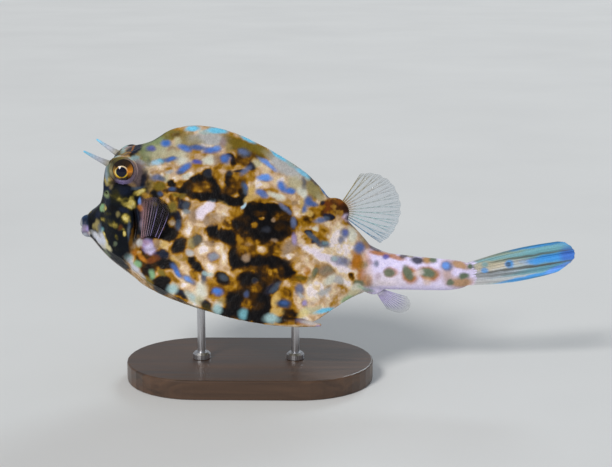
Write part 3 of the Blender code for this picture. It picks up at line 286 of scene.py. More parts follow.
LIGHT = patches(
    ("brown", 204.5, 187, 9.5, 6.3, -8, 1), ("gold", 204, 185.5, 5, 2.8, -10, 0.4, 0.6),
    ("gold", 217.5, 177, 10.5, 3.6, -62, 0.95, 0.55), ("tan", 222, 182, 4, 2.4, -50, 0.7),
    ("brown", 238, 182, 9, 8.5, 0, 1, 0.55), ("gold", 238, 177.5, 6, 3.6, 20, 0.75, 0.6),
    ("umber", 229, 191, 8, 4.4, 0, 0.95), ("brown", 241, 160, 7, 7, 0, 0.95),
    ("gold", 242, 157, 4, 3, 0, 0.6, 0.6), ("ochre", 236.5, 166.5, 5, 2.8, 10, 0.85),
    ("ochre", 223, 167, 8, 3), ("bronze", 176, 195, 4, 2.6), ("bronze", 182.5, 195.5, 3.6, 2.8, 0, 0.8),
    ("tan", 167, 197.5, 5.5, 1.8, -65, 0.95), ("olive", 172.5, 207, 4.4, 5),
    ("olive", 152.5, 203, 4.4, 1.5, -20, 0.8), ("tan", 171, 222, 3.2, 4.6, -15, 0.9, 0.55),
    ("gold", 162, 229.4, 2, 1.6, 0, 0.8), ("tan", 157, 242.5, 5, 4.4, -20, 0.95, 0.55),
    ("honey", 164, 245, 4.6, 4.6), ("gold", 168.5, 249, 2.6, 2.6, 0, 0.7),
    ("rust", 155, 258, 4.4, 3, 0, 0.6, 0.6), ("olive", 162, 272.5, 5.5, 2, -30),
    ("gold", 172, 277.5, 8.5, 2.6, -35), ("gold", 235, 211, 8.5, 4.6, 12, 1, 0.4),
    ("ochre", 236, 211.5, 5, 2.6, 10, 0.5, 0.6), ("frost", 243, 206, 4, 1.5, 58, 0.95, 0.55),
    ("ochre", 219, 226.5, 1.9, 3.6, -10), ("brown", 226.5, 224.5, 5, 3.4, -20),
    ("white", 203.5, 250, 5, 4.8, 0, 0.95), ("white", 211, 268, 5.5, 4.8, 0, 1),
    ("white", 224, 258.5, 3.4, 7, 10, 0.8, 0.55), ("cream", 220, 245.5, 5.4, 4, -20, 0.85),
    ("heather", 213, 256, 5, 4.8, 0, 0.8), ("pearl", 190, 253, 3.6, 3.4),
    ("brown", 260, 213.5, 6, 3, 0, 0.8), ("tan", 261, 218.3, 2.4, 1.8, 0, 0.85),
    ("brown", 281, 216.5, 9, 5, -8, 1), ("gold", 276.5, 217, 3.6, 3, 0, 0.85),
    ("fawn", 273, 219.5, 2, 1.8, 0, 0.7), ("umber", 281, 226.5, 6.5, 4.6),
    ("gold", 254, 225.5, 2.8, 4.2, -15, 0.95, 0.55), ("umber", 247, 219, 4.4, 4, 0, 0.7),
    ("slate", 266.5, 229.5, 4.4, 2.8, 0, 0.22, 0.6), ("fawn", 274.5, 240, 2.8, 2.4, 0, 0.7, 0.6),
    ("fawn", 249, 244.5, 3.6, 2, 0, 0.4, 0.6), ("ochre", 239.5, 240.5, 4, 6.6, 8, 0.95, 0.55),
    ("gold", 243, 251, 6, 5, 0, 0.5, 0.6), ("fawn", 246, 257.5, 4.2, 3.6, -20),
    ("tan", 263, 249, 5.2, 4.4, 0, 0.95), ("cream", 262, 249.5, 3, 2.4, 0, 0.6, 0.6),
    ("gold", 269, 244, 4.4, 2.8, 20), ("gold", 277, 250.5, 5, 6, 10, 0.75),
    ("brown", 249, 268, 10, 2.8, 0, 1, 0.55), ("gold", 265, 269.5, 5, 4, -10, 0.95, 0.55),
    ("brown", 281, 269.5, 3, 5.5, 15), ("tan", 236.5, 273, 4.8, 4.4, 0, 0.95),
    ("gold", 233, 284, 5, 7, 0, 0.6, 0.6), ("gold", 256, 287, 6.5, 5.4, -30),
    ("brown", 270, 280, 10, 4, -15, 0.85), ("gold", 246.5, 303.5, 4.8, 6.6, -15, 0.95, 0.55),
    ("umber", 257.5, 306, 5, 4, 0, 0.7), ("peach", 288, 284, 4.6, 4.4, 0, 0.95, 0.55),
    ("honey", 276, 299.5, 3.2, 8, -12), ("cream", 297, 298.5, 11, 3.8, -62, 0.95, 0.55),
    ("brown", 284, 293, 7, 4.6, 0, 0.6, 0.6), ("honey", 277, 312, 6, 4, 0, 0.8),
    ("gold", 300, 279.5, 10, 5.4, -5, 1), ("bronze", 301, 277.5, 5, 2.6, -5, 0.6, 0.6),
    ("orange", 307.5, 271.5, 3.4, 3.4, -20, 0.8), ("tan", 280, 204.5, 6, 1.4, -25, 0.5, 0.6),
    ("tan", 315, 227, 4.4, 4, -20, 0.95), ("ivory", 315.5, 229, 3, 2.4, 0, 0.8),
    ("ochre", 307.5, 241, 4.2, 3.6, 0, 0.95, 0.55), ("gold", 306, 240, 2.4, 2, 0, 0.7),
    ("ochre", 318, 209.5, 7.5, 3.6, 22, 0.95, 0.55), ("honey", 309.5, 214, 3.4, 3.4, -40, 0.85),
    ("brown", 306, 218.5, 3.4, 2.8), ("tan", 328, 234, 3.6, 5, 0, 0.8),
    # Painted highlight: the two white streaks on the next line stand for the shine along the ridge that runs
    # down towards the tail stalk
    ("white", 321, 256.5, 19.5, 3.3, -29, 1), ("white", 344, 269.5, 8, 3, -20, 0.95),
    ("tan", 312, 263, 3.6, 4, -20, 0.6, 0.6), ("sage", 312, 277, 10, 2.8, 57, 0.8),
    ("peach", 318, 281, 6, 3.6, 30), ("ivory", 330, 279.5, 7.5, 4, 40, 0.95),
    ("pearl", 339.5, 280, 4.8, 4.6), ("white", 348.5, 284, 4.6, 3.6, -20),
    ("tan", 339, 287, 5, 2.8, 0, 0.8), ("orange", 362, 277, 4.4, 8, 0, 0.8),
    ("sage", 359, 284, 6, 3.6, -20, 0.85), ("dusk", 300, 290, 4.6, 6, -10, 0.7),
    ("pearl", 302, 299, 8.5, 2.4, -62, 0.8), ("white", 311, 291, 5, 6, 10, 0.7, 0.55),
    ("pearl", 322, 294, 12, 3, 37, 0.95, 0.55), ("cream", 333, 295.5, 9.5, 2.8, 26, 0.95),
    ("tan", 324, 302, 7, 2.6, 12, 0.6, 0.6), ("tan", 344, 291.5, 8, 2.8, 25, 0.8),
    ("ivory", 357, 287, 5, 3, 0, 0.8), ("mint", 366, 289, 8, 1.8, -10, 0.8),
    ("straw", 303.5, 314.5, 5, 4.6, 0, 0.6, 0.6), ("peach", 189, 302, 12, 1.6, -24, 0.7),
    ("orange", 134, 252.6, 4, 2.8, -25, 0.95), ("cream", 138.6, 254, 3.2, 2, -30, 0.85),
    ("orange", 143, 258.6, 6, 2.4, -35, 0.85), ("rust", 151, 260.5, 4, 2.8, -20, 0.8),
    ("olive", 148.5, 281, 6, 2.4, -40, 0.8), ("tan", 151, 287.6, 9, 1.1, -40, 0.7),
    ("tan", 170, 299.6, 11, 1.1, -28, 0.8), ("white", 300, 268, 10, 5, -30, 0.7, 0.7),
    # Painted highlight: the two soft white marks on the next line lie along the same shining ridge
    ("white", 318, 252, 9, 5, -28, 0.7, 0.7), ("white", 336, 262, 9, 5, -24, 0.6, 0.7),
    ("white", 312, 282, 8, 5, 30, 0.6, 0.7), ("fawn", 214, 219, 9, 5, 0, 0.6, 0.6),
    ("cream", 225, 208.5, 7, 2.2, -48, 0.85, 0.6), ("ochre", 236, 211.5, 4.6, 3.2, 20, 0.95),
    ("ochre", 262, 200, 13, 2.6, -4, 0.85), ("honey", 248, 199.5, 5, 3, 20),
    ("haze", 213.5, 256, 4.6, 4, 0, 0.7, 0.6), ("gold", 194, 187, 9, 6, 0, 0.5, 0.6),
    # Painted highlight: the long milk streak on the next line is also the shine along that ridge
    ("milk", 327, 258.5, 26, 3, -25, 0.95), ("cream", 308, 300, 14, 3, 12, 0.8, 0.6),
    ("peach", 180, 258, 7, 5, -20, 0.6, 0.6),
)
# Blue scribbles, and cool pale marks near the outline
BLUE = patches(
    ("violet", 150.5, 149, 4.8, 2.6, 0, 0.8, 0.6), ("blue", 166, 143.6, 4.8, 3, -5, 1, 0.6),
    ("blue", 184.5, 148, 6, 3, -18, 0.9, 0.6), ("denim", 197, 147.6, 9, 2.2, -4, 0.95, 0.6),
    ("blue", 212, 150.2, 8, 2.9, 6, 0.95, 0.6), ("sky", 217, 147.8, 3.4, 2.2, 20, 0.7, 0.6),
    ("frost", 156.5, 162.8, 5.2, 2.6, 5, 0.95, 0.6), ("cyan", 161, 161, 2.6, 1.5, 0, 0.7, 0.6),
    ("denim", 170, 159.3, 6.8, 2.3, 8, 0.95, 0.6), ("blue", 172, 159, 3.6, 1.5, 8, 0.7, 0.6),
    ("blue", 184, 168.2, 7.4, 3, 36, 0.95, 0.6), ("slate", 179.5, 172.5, 3, 1.6, 10, 0.6, 0.6),
    ("violet", 197, 162, 4.5, 2.2, 0, 0.95, 0.6), ("dusk", 157, 178, 6.2, 3, -5, 0.9, 0.6),
    ("slate", 161, 178.5, 2.6, 2.2, 0, 0.6, 0.6), ("denim", 225.5, 158.8, 5, 4.2, 18, 0.95, 0.6),
    ("blue", 224, 159, 2.6, 2.2, 0, 0.6, 0.6), ("slate", 243.5, 152, 6.4, 3.4, -20, 0.8, 0.6),
    ("dusk", 243, 151.6, 4.6, 2.2, -20, 0.9, 0.6), ("dusk", 245.5, 170.3, 6, 2.8, 42, 0.85, 0.6),
    ("slate", 245, 189, 2.8, 5.8, 14, 0.95, 0.6), ("denim", 246, 187, 1.8, 2.6, 10, 0.6, 0.6),
    ("navy", 208.5, 173, 3.6, 3.6, 0, 0.7, 0.6), ("navy", 229, 172.5, 3.4, 2.6, 0, 0.7, 0.6),
    ("denim", 171.5, 188.8, 3.2, 1.8, 0, 0.5, 0.6), ("denim", 160, 193.5, 2.6, 2.2, 0, 0.35, 0.6),
    ("slate", 186.5, 205.5, 3, 3.4, 0, 0.5, 0.6), ("haze", 186.5, 211.5, 3.4, 2, -10, 0.7, 0.6),
    ("sky", 268, 164.3, 9.5, 2.2, -37, 0.95, 0.6), ("sky", 264.5, 177.6, 6.8, 3.2, 0, 1, 0.55),
    ("blue", 261.5, 193.3, 6, 3, -25, 0.8, 0.6), ("dusk", 264, 194.5, 3, 1.8, -20, 0.6, 0.6),
    ("blue", 282, 186.3, 6.6, 3.2, -55, 0.95, 0.6), ("blue", 290.5, 190.8, 5.2, 3, -5, 0.95, 0.6),
    ("denim", 308, 201, 3.8, 5.2, -10, 0.95, 0.6), ("denim", 312.5, 203.5, 5, 2.2, -10, 0.9, 0.6),
    ("denim", 304.5, 208.5, 2.4, 4, 10, 0.9, 0.6), ("dusk", 285, 208, 8, 2, -38, 0.8, 0.6),
    ("dusk", 321, 220.3, 6.4, 2.6, 10, 0.95, 0.6), ("slate", 327, 218.5, 3, 2, 0, 0.7, 0.6),
    ("dusk", 293.6, 222, 2.5, 5.4, 0, 0.8, 0.6), ("wisteria", 294.5, 239, 2.8, 6, 5, 0.75, 0.55),
    ("slate", 311.5, 236, 5.5, 2.2, -35, 0.85, 0.6), ("slate", 323.5, 244.5, 5.5, 3, -10, 0.85, 0.6),
    ("teal", 325, 243, 2.6, 2, 0, 0.4, 0.6), ("dusk", 344.5, 233, 4.2, 4.6, 0, 0.95, 0.6),
    ("violet", 345, 232, 2.4, 2.6, 0, 0.5, 0.6), ("dusk", 341, 240, 3, 3.2, 0, 0.75, 0.6),
    ("denim", 359.5, 247.8, 4.7, 5.6, 0, 0.9, 0.6), ("dusk", 342, 261, 8, 4, -18, 0.75, 0.6),
    ("ice", 334, 258.5, 3.4, 2.4, 0, 0.6, 0.6), ("dusk", 299, 289, 3.6, 3.6, 0, 0.5, 0.6),
    ("wisteria", 304.6, 303.6, 2.6, 2.6, 0, 0.9, 0.6), ("lagoon", 283.5, 303.5, 6.4, 4, -3, 1, 0.55),
    ("denim", 284, 303, 3.4, 2, -3, 0.6, 0.6), ("blue", 217.3, 291.6, 4.8, 3.6, -18, 1, 0.6),
    ("blue", 216.6, 291, 2.6, 1.8, -18, 0.5, 0.6), ("denim", 176, 270.5, 7.4, 2.8, -52, 1, 0.6),
    ("blue", 178, 273, 4, 1.6, -48, 0.8, 0.6), ("dusk", 189, 280, 6.8, 2.6, -34, 0.9, 0.6),
    ("sky", 188, 279.3, 4, 1.4, -34, 0.7, 0.6), ("slate", 276, 287, 7, 2, 40, 0.6, 0.6),
    ("denim", 246.5, 294.3, 2.8, 2.8, 0, 0.45, 0.6), ("slate", 223.5, 277, 4, 2.4, -20, 0.55, 0.6),
    ("navy", 254.5, 281, 2.6, 2.4, 0, 0.8, 0.6), ("mint", 152.3, 274.6, 3, 4.6, 12, 0.95, 0.6),
)
EDGE = patches(
    ("mist", 163, 131.8, 5, 2, 32, 0.8), ("cyan", 192.5, 128.8, 7, 2.8, 3, 1, 0.45),
    ("ice", 207, 132, 9, 2.2, 0, 0.7), ("cyan", 217, 130.8, 10, 2.8, -3, 1, 0.45),
    ("cyan", 248, 139, 8.6, 2.4, -25, 1, 0.45), ("cyan", 279, 154.8, 11, 2.8, -40, 1, 0.45),
    ("ice", 291, 163.5, 6, 2.2, -38, 0.8), ("cyan", 303, 172.5, 9, 2.8, -35, 0.85),
    ("lagoon", 314, 181.5, 7, 1.4, -42, 0.6, 0.6), ("azure", 325.5, 192.5, 7, 2, -52),
    ("cyan", 325, 310.8, 9.5, 2.4, 14, 0.95, 0.45), ("mint", 347, 299.6, 7, 2.6, 28, 0.7),
    ("ice", 271.5, 319, 7.5, 4.6, -8, 0.95, 0.55), ("teal", 243.3, 314.4, 4.2, 5.4, 0, 0.95, 0.55),
    ("ice", 217.3, 308.4, 4.8, 6, 0, 0.9, 0.55), ("ice", 172.5, 289, 5, 5.4, -25, 0.95, 0.55),
    ("dusk", 301, 320.5, 5, 2.6, 0, 0.6), ("rose", 309, 323.5, 11, 2.6, -3, 0.45, 0.6),
    ("pearl", 311, 322.5, 9, 2, -3, 0.7), ("wisteria", 319, 326.6, 2.6, 1.8, 0, 0.8),
    ("bone", 110, 251.5, 6, 1.6, -48, 0.7), ("ice", 122, 248.5, 6, 1.6, -60, 0.8),
    ("ice", 127.5, 257.5, 5.4, 3.6, -40, 0.95), ("chin", 130, 262, 4.4, 2.2, -45, 0.8),
    ("mint", 137.3, 264, 4, 3.4, -50), ("chin", 135, 268.6, 5.4, 2.6, -45, 0.95),
    ("pearl", 141.5, 275.5, 6, 1.4, -45, 0.8), ("sage", 120.5, 264, 8, 1.1, -42, 0.5, 0.6),
)
# The part of the head that takes the face's own marks, and those marks
FACE_AREAS = patches(
    ("abyss", 119, 220, 27, 56, -22, 1, 0.2), ("abyss", 97, 222, 12, 22, 0, 1, 0.2),
    ("abyss", 84, 214, 26, 50, 0, 1, 0.2), ("abyss", 98, 264, 30, 38, 0, 1, 0.2),
)
FACE = patches(
    ("yellow", 109.5, 181.5, 3, 4.4, 10), ("khaki", 111.3, 186.5, 1.6, 3, 0, 0.7),
    ("celadon", 106, 194.5, 2.8, 3.4), ("olive", 110, 196, 2, 3.2), ("moss", 117, 199.5, 8, 5, 0, 0.8),
    ("olive", 125, 200, 5, 3.6, 0, 0.6, 0.6), ("mint", 99.5, 208, 4.8, 3.3, 0, 1, 0.45),
    ("celadon", 101.5, 210, 3, 1.8, 0, 0.8), ("yellow", 105.5, 207.6, 2.2, 2.8, 0, 0.95),
    ("straw", 131.5, 204, 4.6, 6, 8, 1, 0.45), ("yellow", 126.5, 204.5, 3, 2.6),
    ("yellow", 132, 197.3, 3, 2.8, 0, 0.85), ("straw", 140.5, 191.4, 6, 4.4, 8, 0.95),
    ("yellow", 135.6, 193.6, 4, 2.6, 0, 0.8), ("ochre", 147, 196, 5, 3, -15, 0.85),
    ("straw", 125.6, 217.6, 5, 4.6, -22, 0.95), ("yellow", 128.2, 221.6, 2.2, 2.4, 0, 0.8),
    ("olive", 122, 229.4, 3, 2, 0, 0.95), ("yellow", 124.3, 234, 2, 3.4, 10, 1, 0.45),
    ("olive", 116.5, 237.6, 1.9, 3.4, 5), ("sage", 115, 244.5, 2, 2, 0, 0.6),
    ("olive", 107, 221.6, 8.5, 2.6, -18, 0.8), ("olive", 112.5, 224.5, 4, 2.4, -15, 0.7),
    ("rust", 120.5, 227, 2.4, 2.4, 0, 0.5, 0.6), ("navy", 124, 210, 5, 2.4, -15),
    ("brown", 134, 230, 2, 8, -10, 0.85), ("brown", 131, 243, 2, 6, 0, 0.75),
    ("sky", 139.8, 201.6, 1.3, 3.6, 0, 0.85), ("orange", 140.2, 208.6, 2.6, 3.6, 0, 0.95),
    ("slate", 138, 187.6, 6.5, 1.9, 8, 0.8), ("navy", 123, 190, 7, 4, 0, 0.7, 0.6),
    ("chin", 101, 238.5, 9.5, 4.2, -62, 1, 0.45), ("straw", 104.8, 236.5, 7.4, 1.8, -62, 0.75),
    ("teal", 100, 229, 3, 2.4, 0, 0.6), ("khaki", 94, 227, 3, 5, 15, 0.8),
    ("bone", 107.5, 247.5, 5, 2.4, -52, 0.85), ("moss", 115, 194.5, 4, 5),
    ("olive", 123.5, 199.6, 5.5, 2.4, 0, 0.8), ("olive", 123.5, 204, 3.6, 2.8, -10),
    ("black", 112.5, 208, 4, 3, 0, 0.8), ("olive", 102, 219.4, 5, 2.2, -10),
    ("moss", 110, 221.5, 6, 2.4, -25), ("olive", 113.5, 226, 5, 2, -15, 0.8),
    ("khaki", 117.6, 214.4, 1.9, 2.8, 10, 0.6, 0.6), ("moss", 106, 214, 5, 2, 0, 0.7, 0.6),
    ("navy", 93, 214.5, 4, 3.2), ("pearl", 98, 243.5, 9, 2.4, -42, 0.85),
    ("slate", 128.4, 230, 1.2, 9, 0, 0.7, 0.6), ("rose", 144, 214, 3.4, 12, 5, 0.6, 0.6),
    ("heather", 143, 230, 2.6, 10, 5, 0.6, 0.6), ("khaki", 93.5, 224, 3, 5.5, 5, 0.8),
    ("slate", 97, 228, 2.4, 5, 0, 0.7, 0.6), ("navy", 137, 216, 2.4, 7, 0, 0.7, 0.6),
    ("sage", 104, 254, 6, 3, -40, 0.7), ("slate", 97, 262, 5, 2.6, -30, 0.7),
    ("olive", 106, 268, 6, 2.4, -40, 0.7), ("khaki", 94, 272, 4, 3, 0, 0.6),
    ("chin", 91, 235.5, 6, 3.4, -35), ("chin", 95, 239.5, 6, 3, -42),
)
# Round the eye and on the brow
BROW = patches(
    ("navy", 105.5, 182, 6, 24, 0, 1, 0.35), ("yellow", 108.2, 180.5, 3, 4.4, 10),
    ("celadon", 106.5, 194.5, 3, 3.4), ("yellow", 117, 146.5, 7, 3.4, 10, 0.7, 0.6),
    ("khaki", 128, 143.4, 5.5, 2, 20), ("navy", 133.5, 147.5, 8, 6.2, 0, 1, 0.3),
    ("abyss", 131, 146, 5, 4, 0, 0.8), ("navy", 118, 153.4, 14, 2.6, 3, 0.95, 0.4),
    ("orange", 129, 152.6, 1.8, 0.8, -15, 0.8), ("black", 131.4, 154.8, 3.2, 1.5, -15),
    ("navy", 105.5, 156.5, 3, 3, 0, 0.8), ("haze", 107, 170, 2, 12, 3, 0.95, 0.4),
    ("sage", 109.6, 168, 2.2, 9, 0, 0.8), ("moss", 112, 160.5, 6, 3, 20),
    ("olive", 121, 158.5, 8, 1.8, 0, 0.6), ("ice", 116, 156, 3.6, 1.6, 5, 0.85),
    ("ice", 134, 158.2, 6, 2.6, 10, 0.95), ("pearl", 139, 161.5, 6, 2.6, -10),
    ("celadon", 146, 159, 5, 3, -20, 0.6, 0.6), ("sage", 148.5, 162.5, 2.4, 3.4, 0, 0.7),
    ("mauve", 137.5, 173.5, 5.4, 11, 0, 1, 0.4), ("tan", 131, 184, 5, 2.4, -20, 0.8),
    ("heather", 124, 182.2, 8, 1.6, -5), ("black", 113, 182.4, 4, 2, 0, 0.7),
    ("navy", 144, 178.5, 2.4, 9, -12, 0.8),
)
# On the pale tail stalk
STALK = patches(
    ("khaki", 358, 236, 14, 15, -40), ("white", 353, 244, 7, 12, 0, 0.8, 0.6),
    ("orange", 366, 245, 6, 3, -30, 0.6, 0.6), ("milk", 400, 284, 40, 3.4), ("bone", 352, 289, 16, 10, 20),
    # Partly painted light: the broad soft white mark low on the stalk is its pale underside, painted whiter
    # to offset the shade on the stalk's lower side
    ("white", 395, 280, 30, 7, 0, 0.5, 0.6), ("lilac", 430, 283, 34, 4, 0, 0.6, 0.6),
    ("orange", 356, 264, 9, 22, -4, 0.95, 0.6), ("orange", 367, 281, 5, 6, -20, 0.85, 0.6),
    ("peach", 368, 274, 5, 10, 0, 0.5, 0.7), ("orange", 380, 253.4, 12, 2.6, -10),
    ("orange", 396, 257.5, 9, 2.4, -15, 0.8), ("umber", 376, 248.5, 7, 2.4, -22, 0.85),
    ("gold", 388, 252, 5, 1.4, -16, 0.7), ("orange", 366, 260, 5, 7, 0, 0.5, 0.7),
    ("ochre", 427, 260, 6, 4), ("khaki", 409, 255, 5, 2.5, -20, 0.8),
    ("umber", 403, 255.5, 4, 3.4, 0, 0.85), ("navy", 417, 260.5, 6.5, 3.8, -8, 0.9, 0.45),
    ("sage", 433, 260, 4, 3, 0, 0.95), ("violet", 386, 257, 3.2, 2.8, 0, 0.85),
    ("slate", 376.4, 263.4, 3, 3.2, 0, 0.75, 0.6), ("rose", 370.5, 262, 3.4, 2.4, 0, 0.5, 0.6),
    ("sage", 363, 265, 4.4, 3.6, 0, 0.85, 0.6), ("slate", 364, 264.5, 2.4, 2, 0, 0.6, 0.6),
    ("rose", 377.5, 277, 3, 4, 0, 0.4, 0.6), ("denim", 359.5, 247.8, 4.7, 5.6, 0, 0.9, 0.6),
    ("orange", 391, 272, 7, 5, 0, 0.7, 0.35), ("sage", 389.5, 272.5, 5.5, 4.2, 0, 0.9, 0.4),
    ("orange", 410, 275, 9, 7.5, -50, 0.95, 0.35), ("sage", 408, 273, 8, 4.6, -58, 0.95, 0.4),
    ("orange", 429, 274, 11, 7, -15, 0.95, 0.35), ("sage", 428, 273, 8.5, 4.8, -15, 1, 0.4),
    ("peach", 427, 281, 4, 4, 0, 0.6, 0.6), ("white", 417, 274, 4, 3, 0, 0.6, 0.6),
    ("ochre", 447, 272, 6, 12, 0, 0.6, 0.6), ("ochre", 461, 283, 13, 6, 4, 0.85),
    ("ochre", 460, 265, 10, 3.8, -18, 0.85), ("lilac", 459, 272, 7, 3, 5, 0.8),
    ("dusk", 447, 266.5, 5.6, 4.8, 0, 0.95, 0.45), ("sky", 446, 266, 3.6, 3.4, 0, 0.85),
    ("sage", 450, 283, 3.8, 3.4, 0, 0.95, 0.45), ("sage", 464, 276, 5.5, 3.2, 8, 1, 0.45),
    ("sage", 470, 266, 3, 2.8, 0, 1, 0.45), ("umber", 350, 276.4, 2.8, 3.8),
    ("sage", 358.5, 283.4, 5.5, 3.4, -10), ("mint", 367, 289.6, 8, 1.6, -8),
    ("white", 421, 272, 3, 3, 0, 0.5, 0.6), ("lilac", 410, 289, 46, 3, 0, 0.9, 0.6),
)
# At the foot of the pectoral fin
BASES = patches(
    ("wisteria", 148.6, 246.5, 8, 6, -35, 0.9, 0.45), ("lilac", 149.5, 248.5, 5, 4.6, -35, 0.85),
    ("rose", 146, 243, 4, 2.6, -20, 0.5, 0.6), ("pearl", 139.6, 243.4, 2.8, 4, -10),
    ("tan", 156.2, 243.5, 3, 4.4, 0, 0.85),
)
# On the lips
LIPS = patches(
    ("lagoon", 87, 219, 7, 6, 0, 0.8), ("navy", 86, 221, 4, 4, 0, 0.8, 0.6),
    ("heather", 84.5, 229, 4, 4, 0, 0.8), ("wisteria", 89.5, 228.5, 3.4, 3, 0, 0.8),
    ("rose", 90, 234, 3, 1.6, -30), ("chin", 85.5, 235.5, 3.4, 2.6, -20),
    ("pearl", 80.8, 226, 1.4, 10, 0, 0.8, 0.6), ("ice", 86.5, 212, 6, 1.4, 40, 0.8, 0.6),
    ("ice", 90.4, 215, 1.3, 8, -8, 0.85), ("khaki", 94, 222, 2.6, 8, 8, 0.8),
)
# On the dorsal fin's lobe and on the tail fin
DORSAL_MARKS = patches(
    ("umber", 335, 202, 6, 3.4, 25, 0.8, 0.6), ("orange", 341, 200, 6, 2.6, 10, 0.35, 0.7),
    ("soot", 344, 206, 4, 3, 20, 0.6, 0.6), ("black", 346, 210, 6, 5, 0, 0.75, 0.6),
    ("black", 332, 217, 6, 4, 20, 0.8), ("umber", 338, 208, 3, 3, 0, 0.8, 0.6), ("lilac", 346, 220, 6, 5.5),
    ("orange", 341, 219, 5, 3, 0, 0.5, 0.6),
)
TAIL_MARKS = patches(
    ("chin", 500, 272, 40, 7, 6, 0.6, 0.6), ("celadon", 515, 256, 46, 8, 11, 0.5, 0.6),
    ("teal", 545, 251, 26, 5, 9), ("pearl", 522, 262, 24, 3.2, 7, 0.8),
    ("cream", 490, 266, 20, 4, 6, 0.45, 0.6), ("azure", 550, 257.5, 24, 3.6, 10, 1, 0.45),
    ("blue", 568, 256, 8, 9, 0, 1), ("teal", 540, 269, 34, 3.2, 13, 0.8),
    ("pearl", 505, 279, 44, 1.9, 8, 0.8), ("azure", 530, 276.5, 34, 1.7, 12, 0.95, 0.45),
    ("sky", 560, 267, 17, 2, 24), ("teal", 505, 256.5, 38, 1.6, 10, 0.75),
    # Partly painted shade: the groove lines are the greyer web between bundled rays, darkened as the shade in
    # the gaps between the fin's folds
    ("azure", 535, 246.5, 26, 1.5, 9, 0.85), ("groove", 530, 255.6, 40, 1, 9.5, 0.75),
    ("groove", 520, 267.4, 50, 1.4, 8, 0.8), ("groove", 545, 264.5, 24, 1.1, 10, 0.6),
    ("groove", 497, 274.6, 28, 2.2, 5, 0.5, 0.6), ("teal", 484.5, 264.5, 3.4, 2.4, 0, 0.7),
    ("azure", 484, 270, 3.2, 2.6, 0, 0.75), ("azure", 510, 263.8, 4.2, 3.6, 0, 0.9, 0.45),
    ("slate", 509, 264.5, 2.4, 2.2, 0, 0.8), ("azure", 537, 260.5, 6.5, 3.4, 8),
    ("slate", 470, 267, 4, 3, 0, 0.8), ("sage", 469, 273, 4, 3.4), ("orange", 466, 262, 5, 3, 0, 0.6),
    ("lilac", 468, 280, 6, 4, 0, 0.7, 0.6),
)


def place(point):
    """A point given in millimetres, as a vector in metres."""
    return Vector(point) * MM


def placed(name, data):
    """A new object in the scene."""
    obj = bpy.data.objects.new(name, data)
    bpy.context.scene.collection.objects.link(obj)
    return obj


def mesh_piece(name, points, faces):
    """A smooth piece from points in metres, with its faces turned outwards."""
    mesh = bpy.data.meshes.new(name)
    mesh.from_pydata([tuple(float(c) for c in p) for p in points], [], faces)
    tidy = bmesh.new()
    tidy.from_mesh(mesh)
    bmesh.ops.recalc_face_normals(tidy, faces=tidy.faces)
    tidy.to_mesh(mesh)
    tidy.free()
    mesh.shade_smooth()
    return placed(name, mesh)


def dress(obj, slot, *nodes):
    """obj rides on the body, and the CAD nodes it stands in for are hidden."""
    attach(obj, "root")
    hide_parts(*nodes)


def slopes(knots, values):
    """Slopes of a smooth curve through values, whose last axis runs along the knots."""
    steps = np.diff(knots)
    rises = np.diff(values, axis=-1) / steps
    inner = (rises[..., :-1] * steps[1:] + rises[..., 1:] * steps[:-1]) / (steps[1:] + steps[:-1])
    return np.concatenate([rises[..., :1], inner, rises[..., -1:]], axis=-1)


def smooth_curve(knots, values, at):
    """Values at the places in at, on a cubic through the knots.

    values has one row for each place, or one in all.
    """
    knots, values, at = np.asarray(knots, float), np.atleast_2d(values), np.atleast_1d(at)
    values = np.broadcast_to(values, (len(at), values.shape[-1]))
    tangents = slopes(knots, values)
    span = np.clip(np.searchsorted(knots, at, side="right") - 1, 0, len(knots) - 2)
    row = np.arange(len(at))
    step = knots[span + 1] - knots[span]
    t = (at - knots[span]) / step
    start, end = values[row, span], values[row, span + 1]
    leave, arrive = tangents[row, span] * step, tangents[row, span + 1] * step
    return (
        (1 + 2 * t) * (1 - t) ** 2 * start
        + t * (1 - t) ** 2 * leave
        + t * t * (3 - 2 * t) * end
        + t * t * (t - 1) * arrive
    )


def station_knots():
    """The place of each station along the body: the mean way along the back and the belly."""
    back = np.array([(s.back_x, s.back_z) for s in STATIONS])
    under = np.array([(s.under_x, s.under_z) for s in STATIONS])
    steps = sum(np.linalg.norm(np.diff(line, axis=0), axis=1) for line in (back, under)) / 2
    return np.concatenate([[0.0], np.cumsum(steps)])


KNOTS = station_knots()


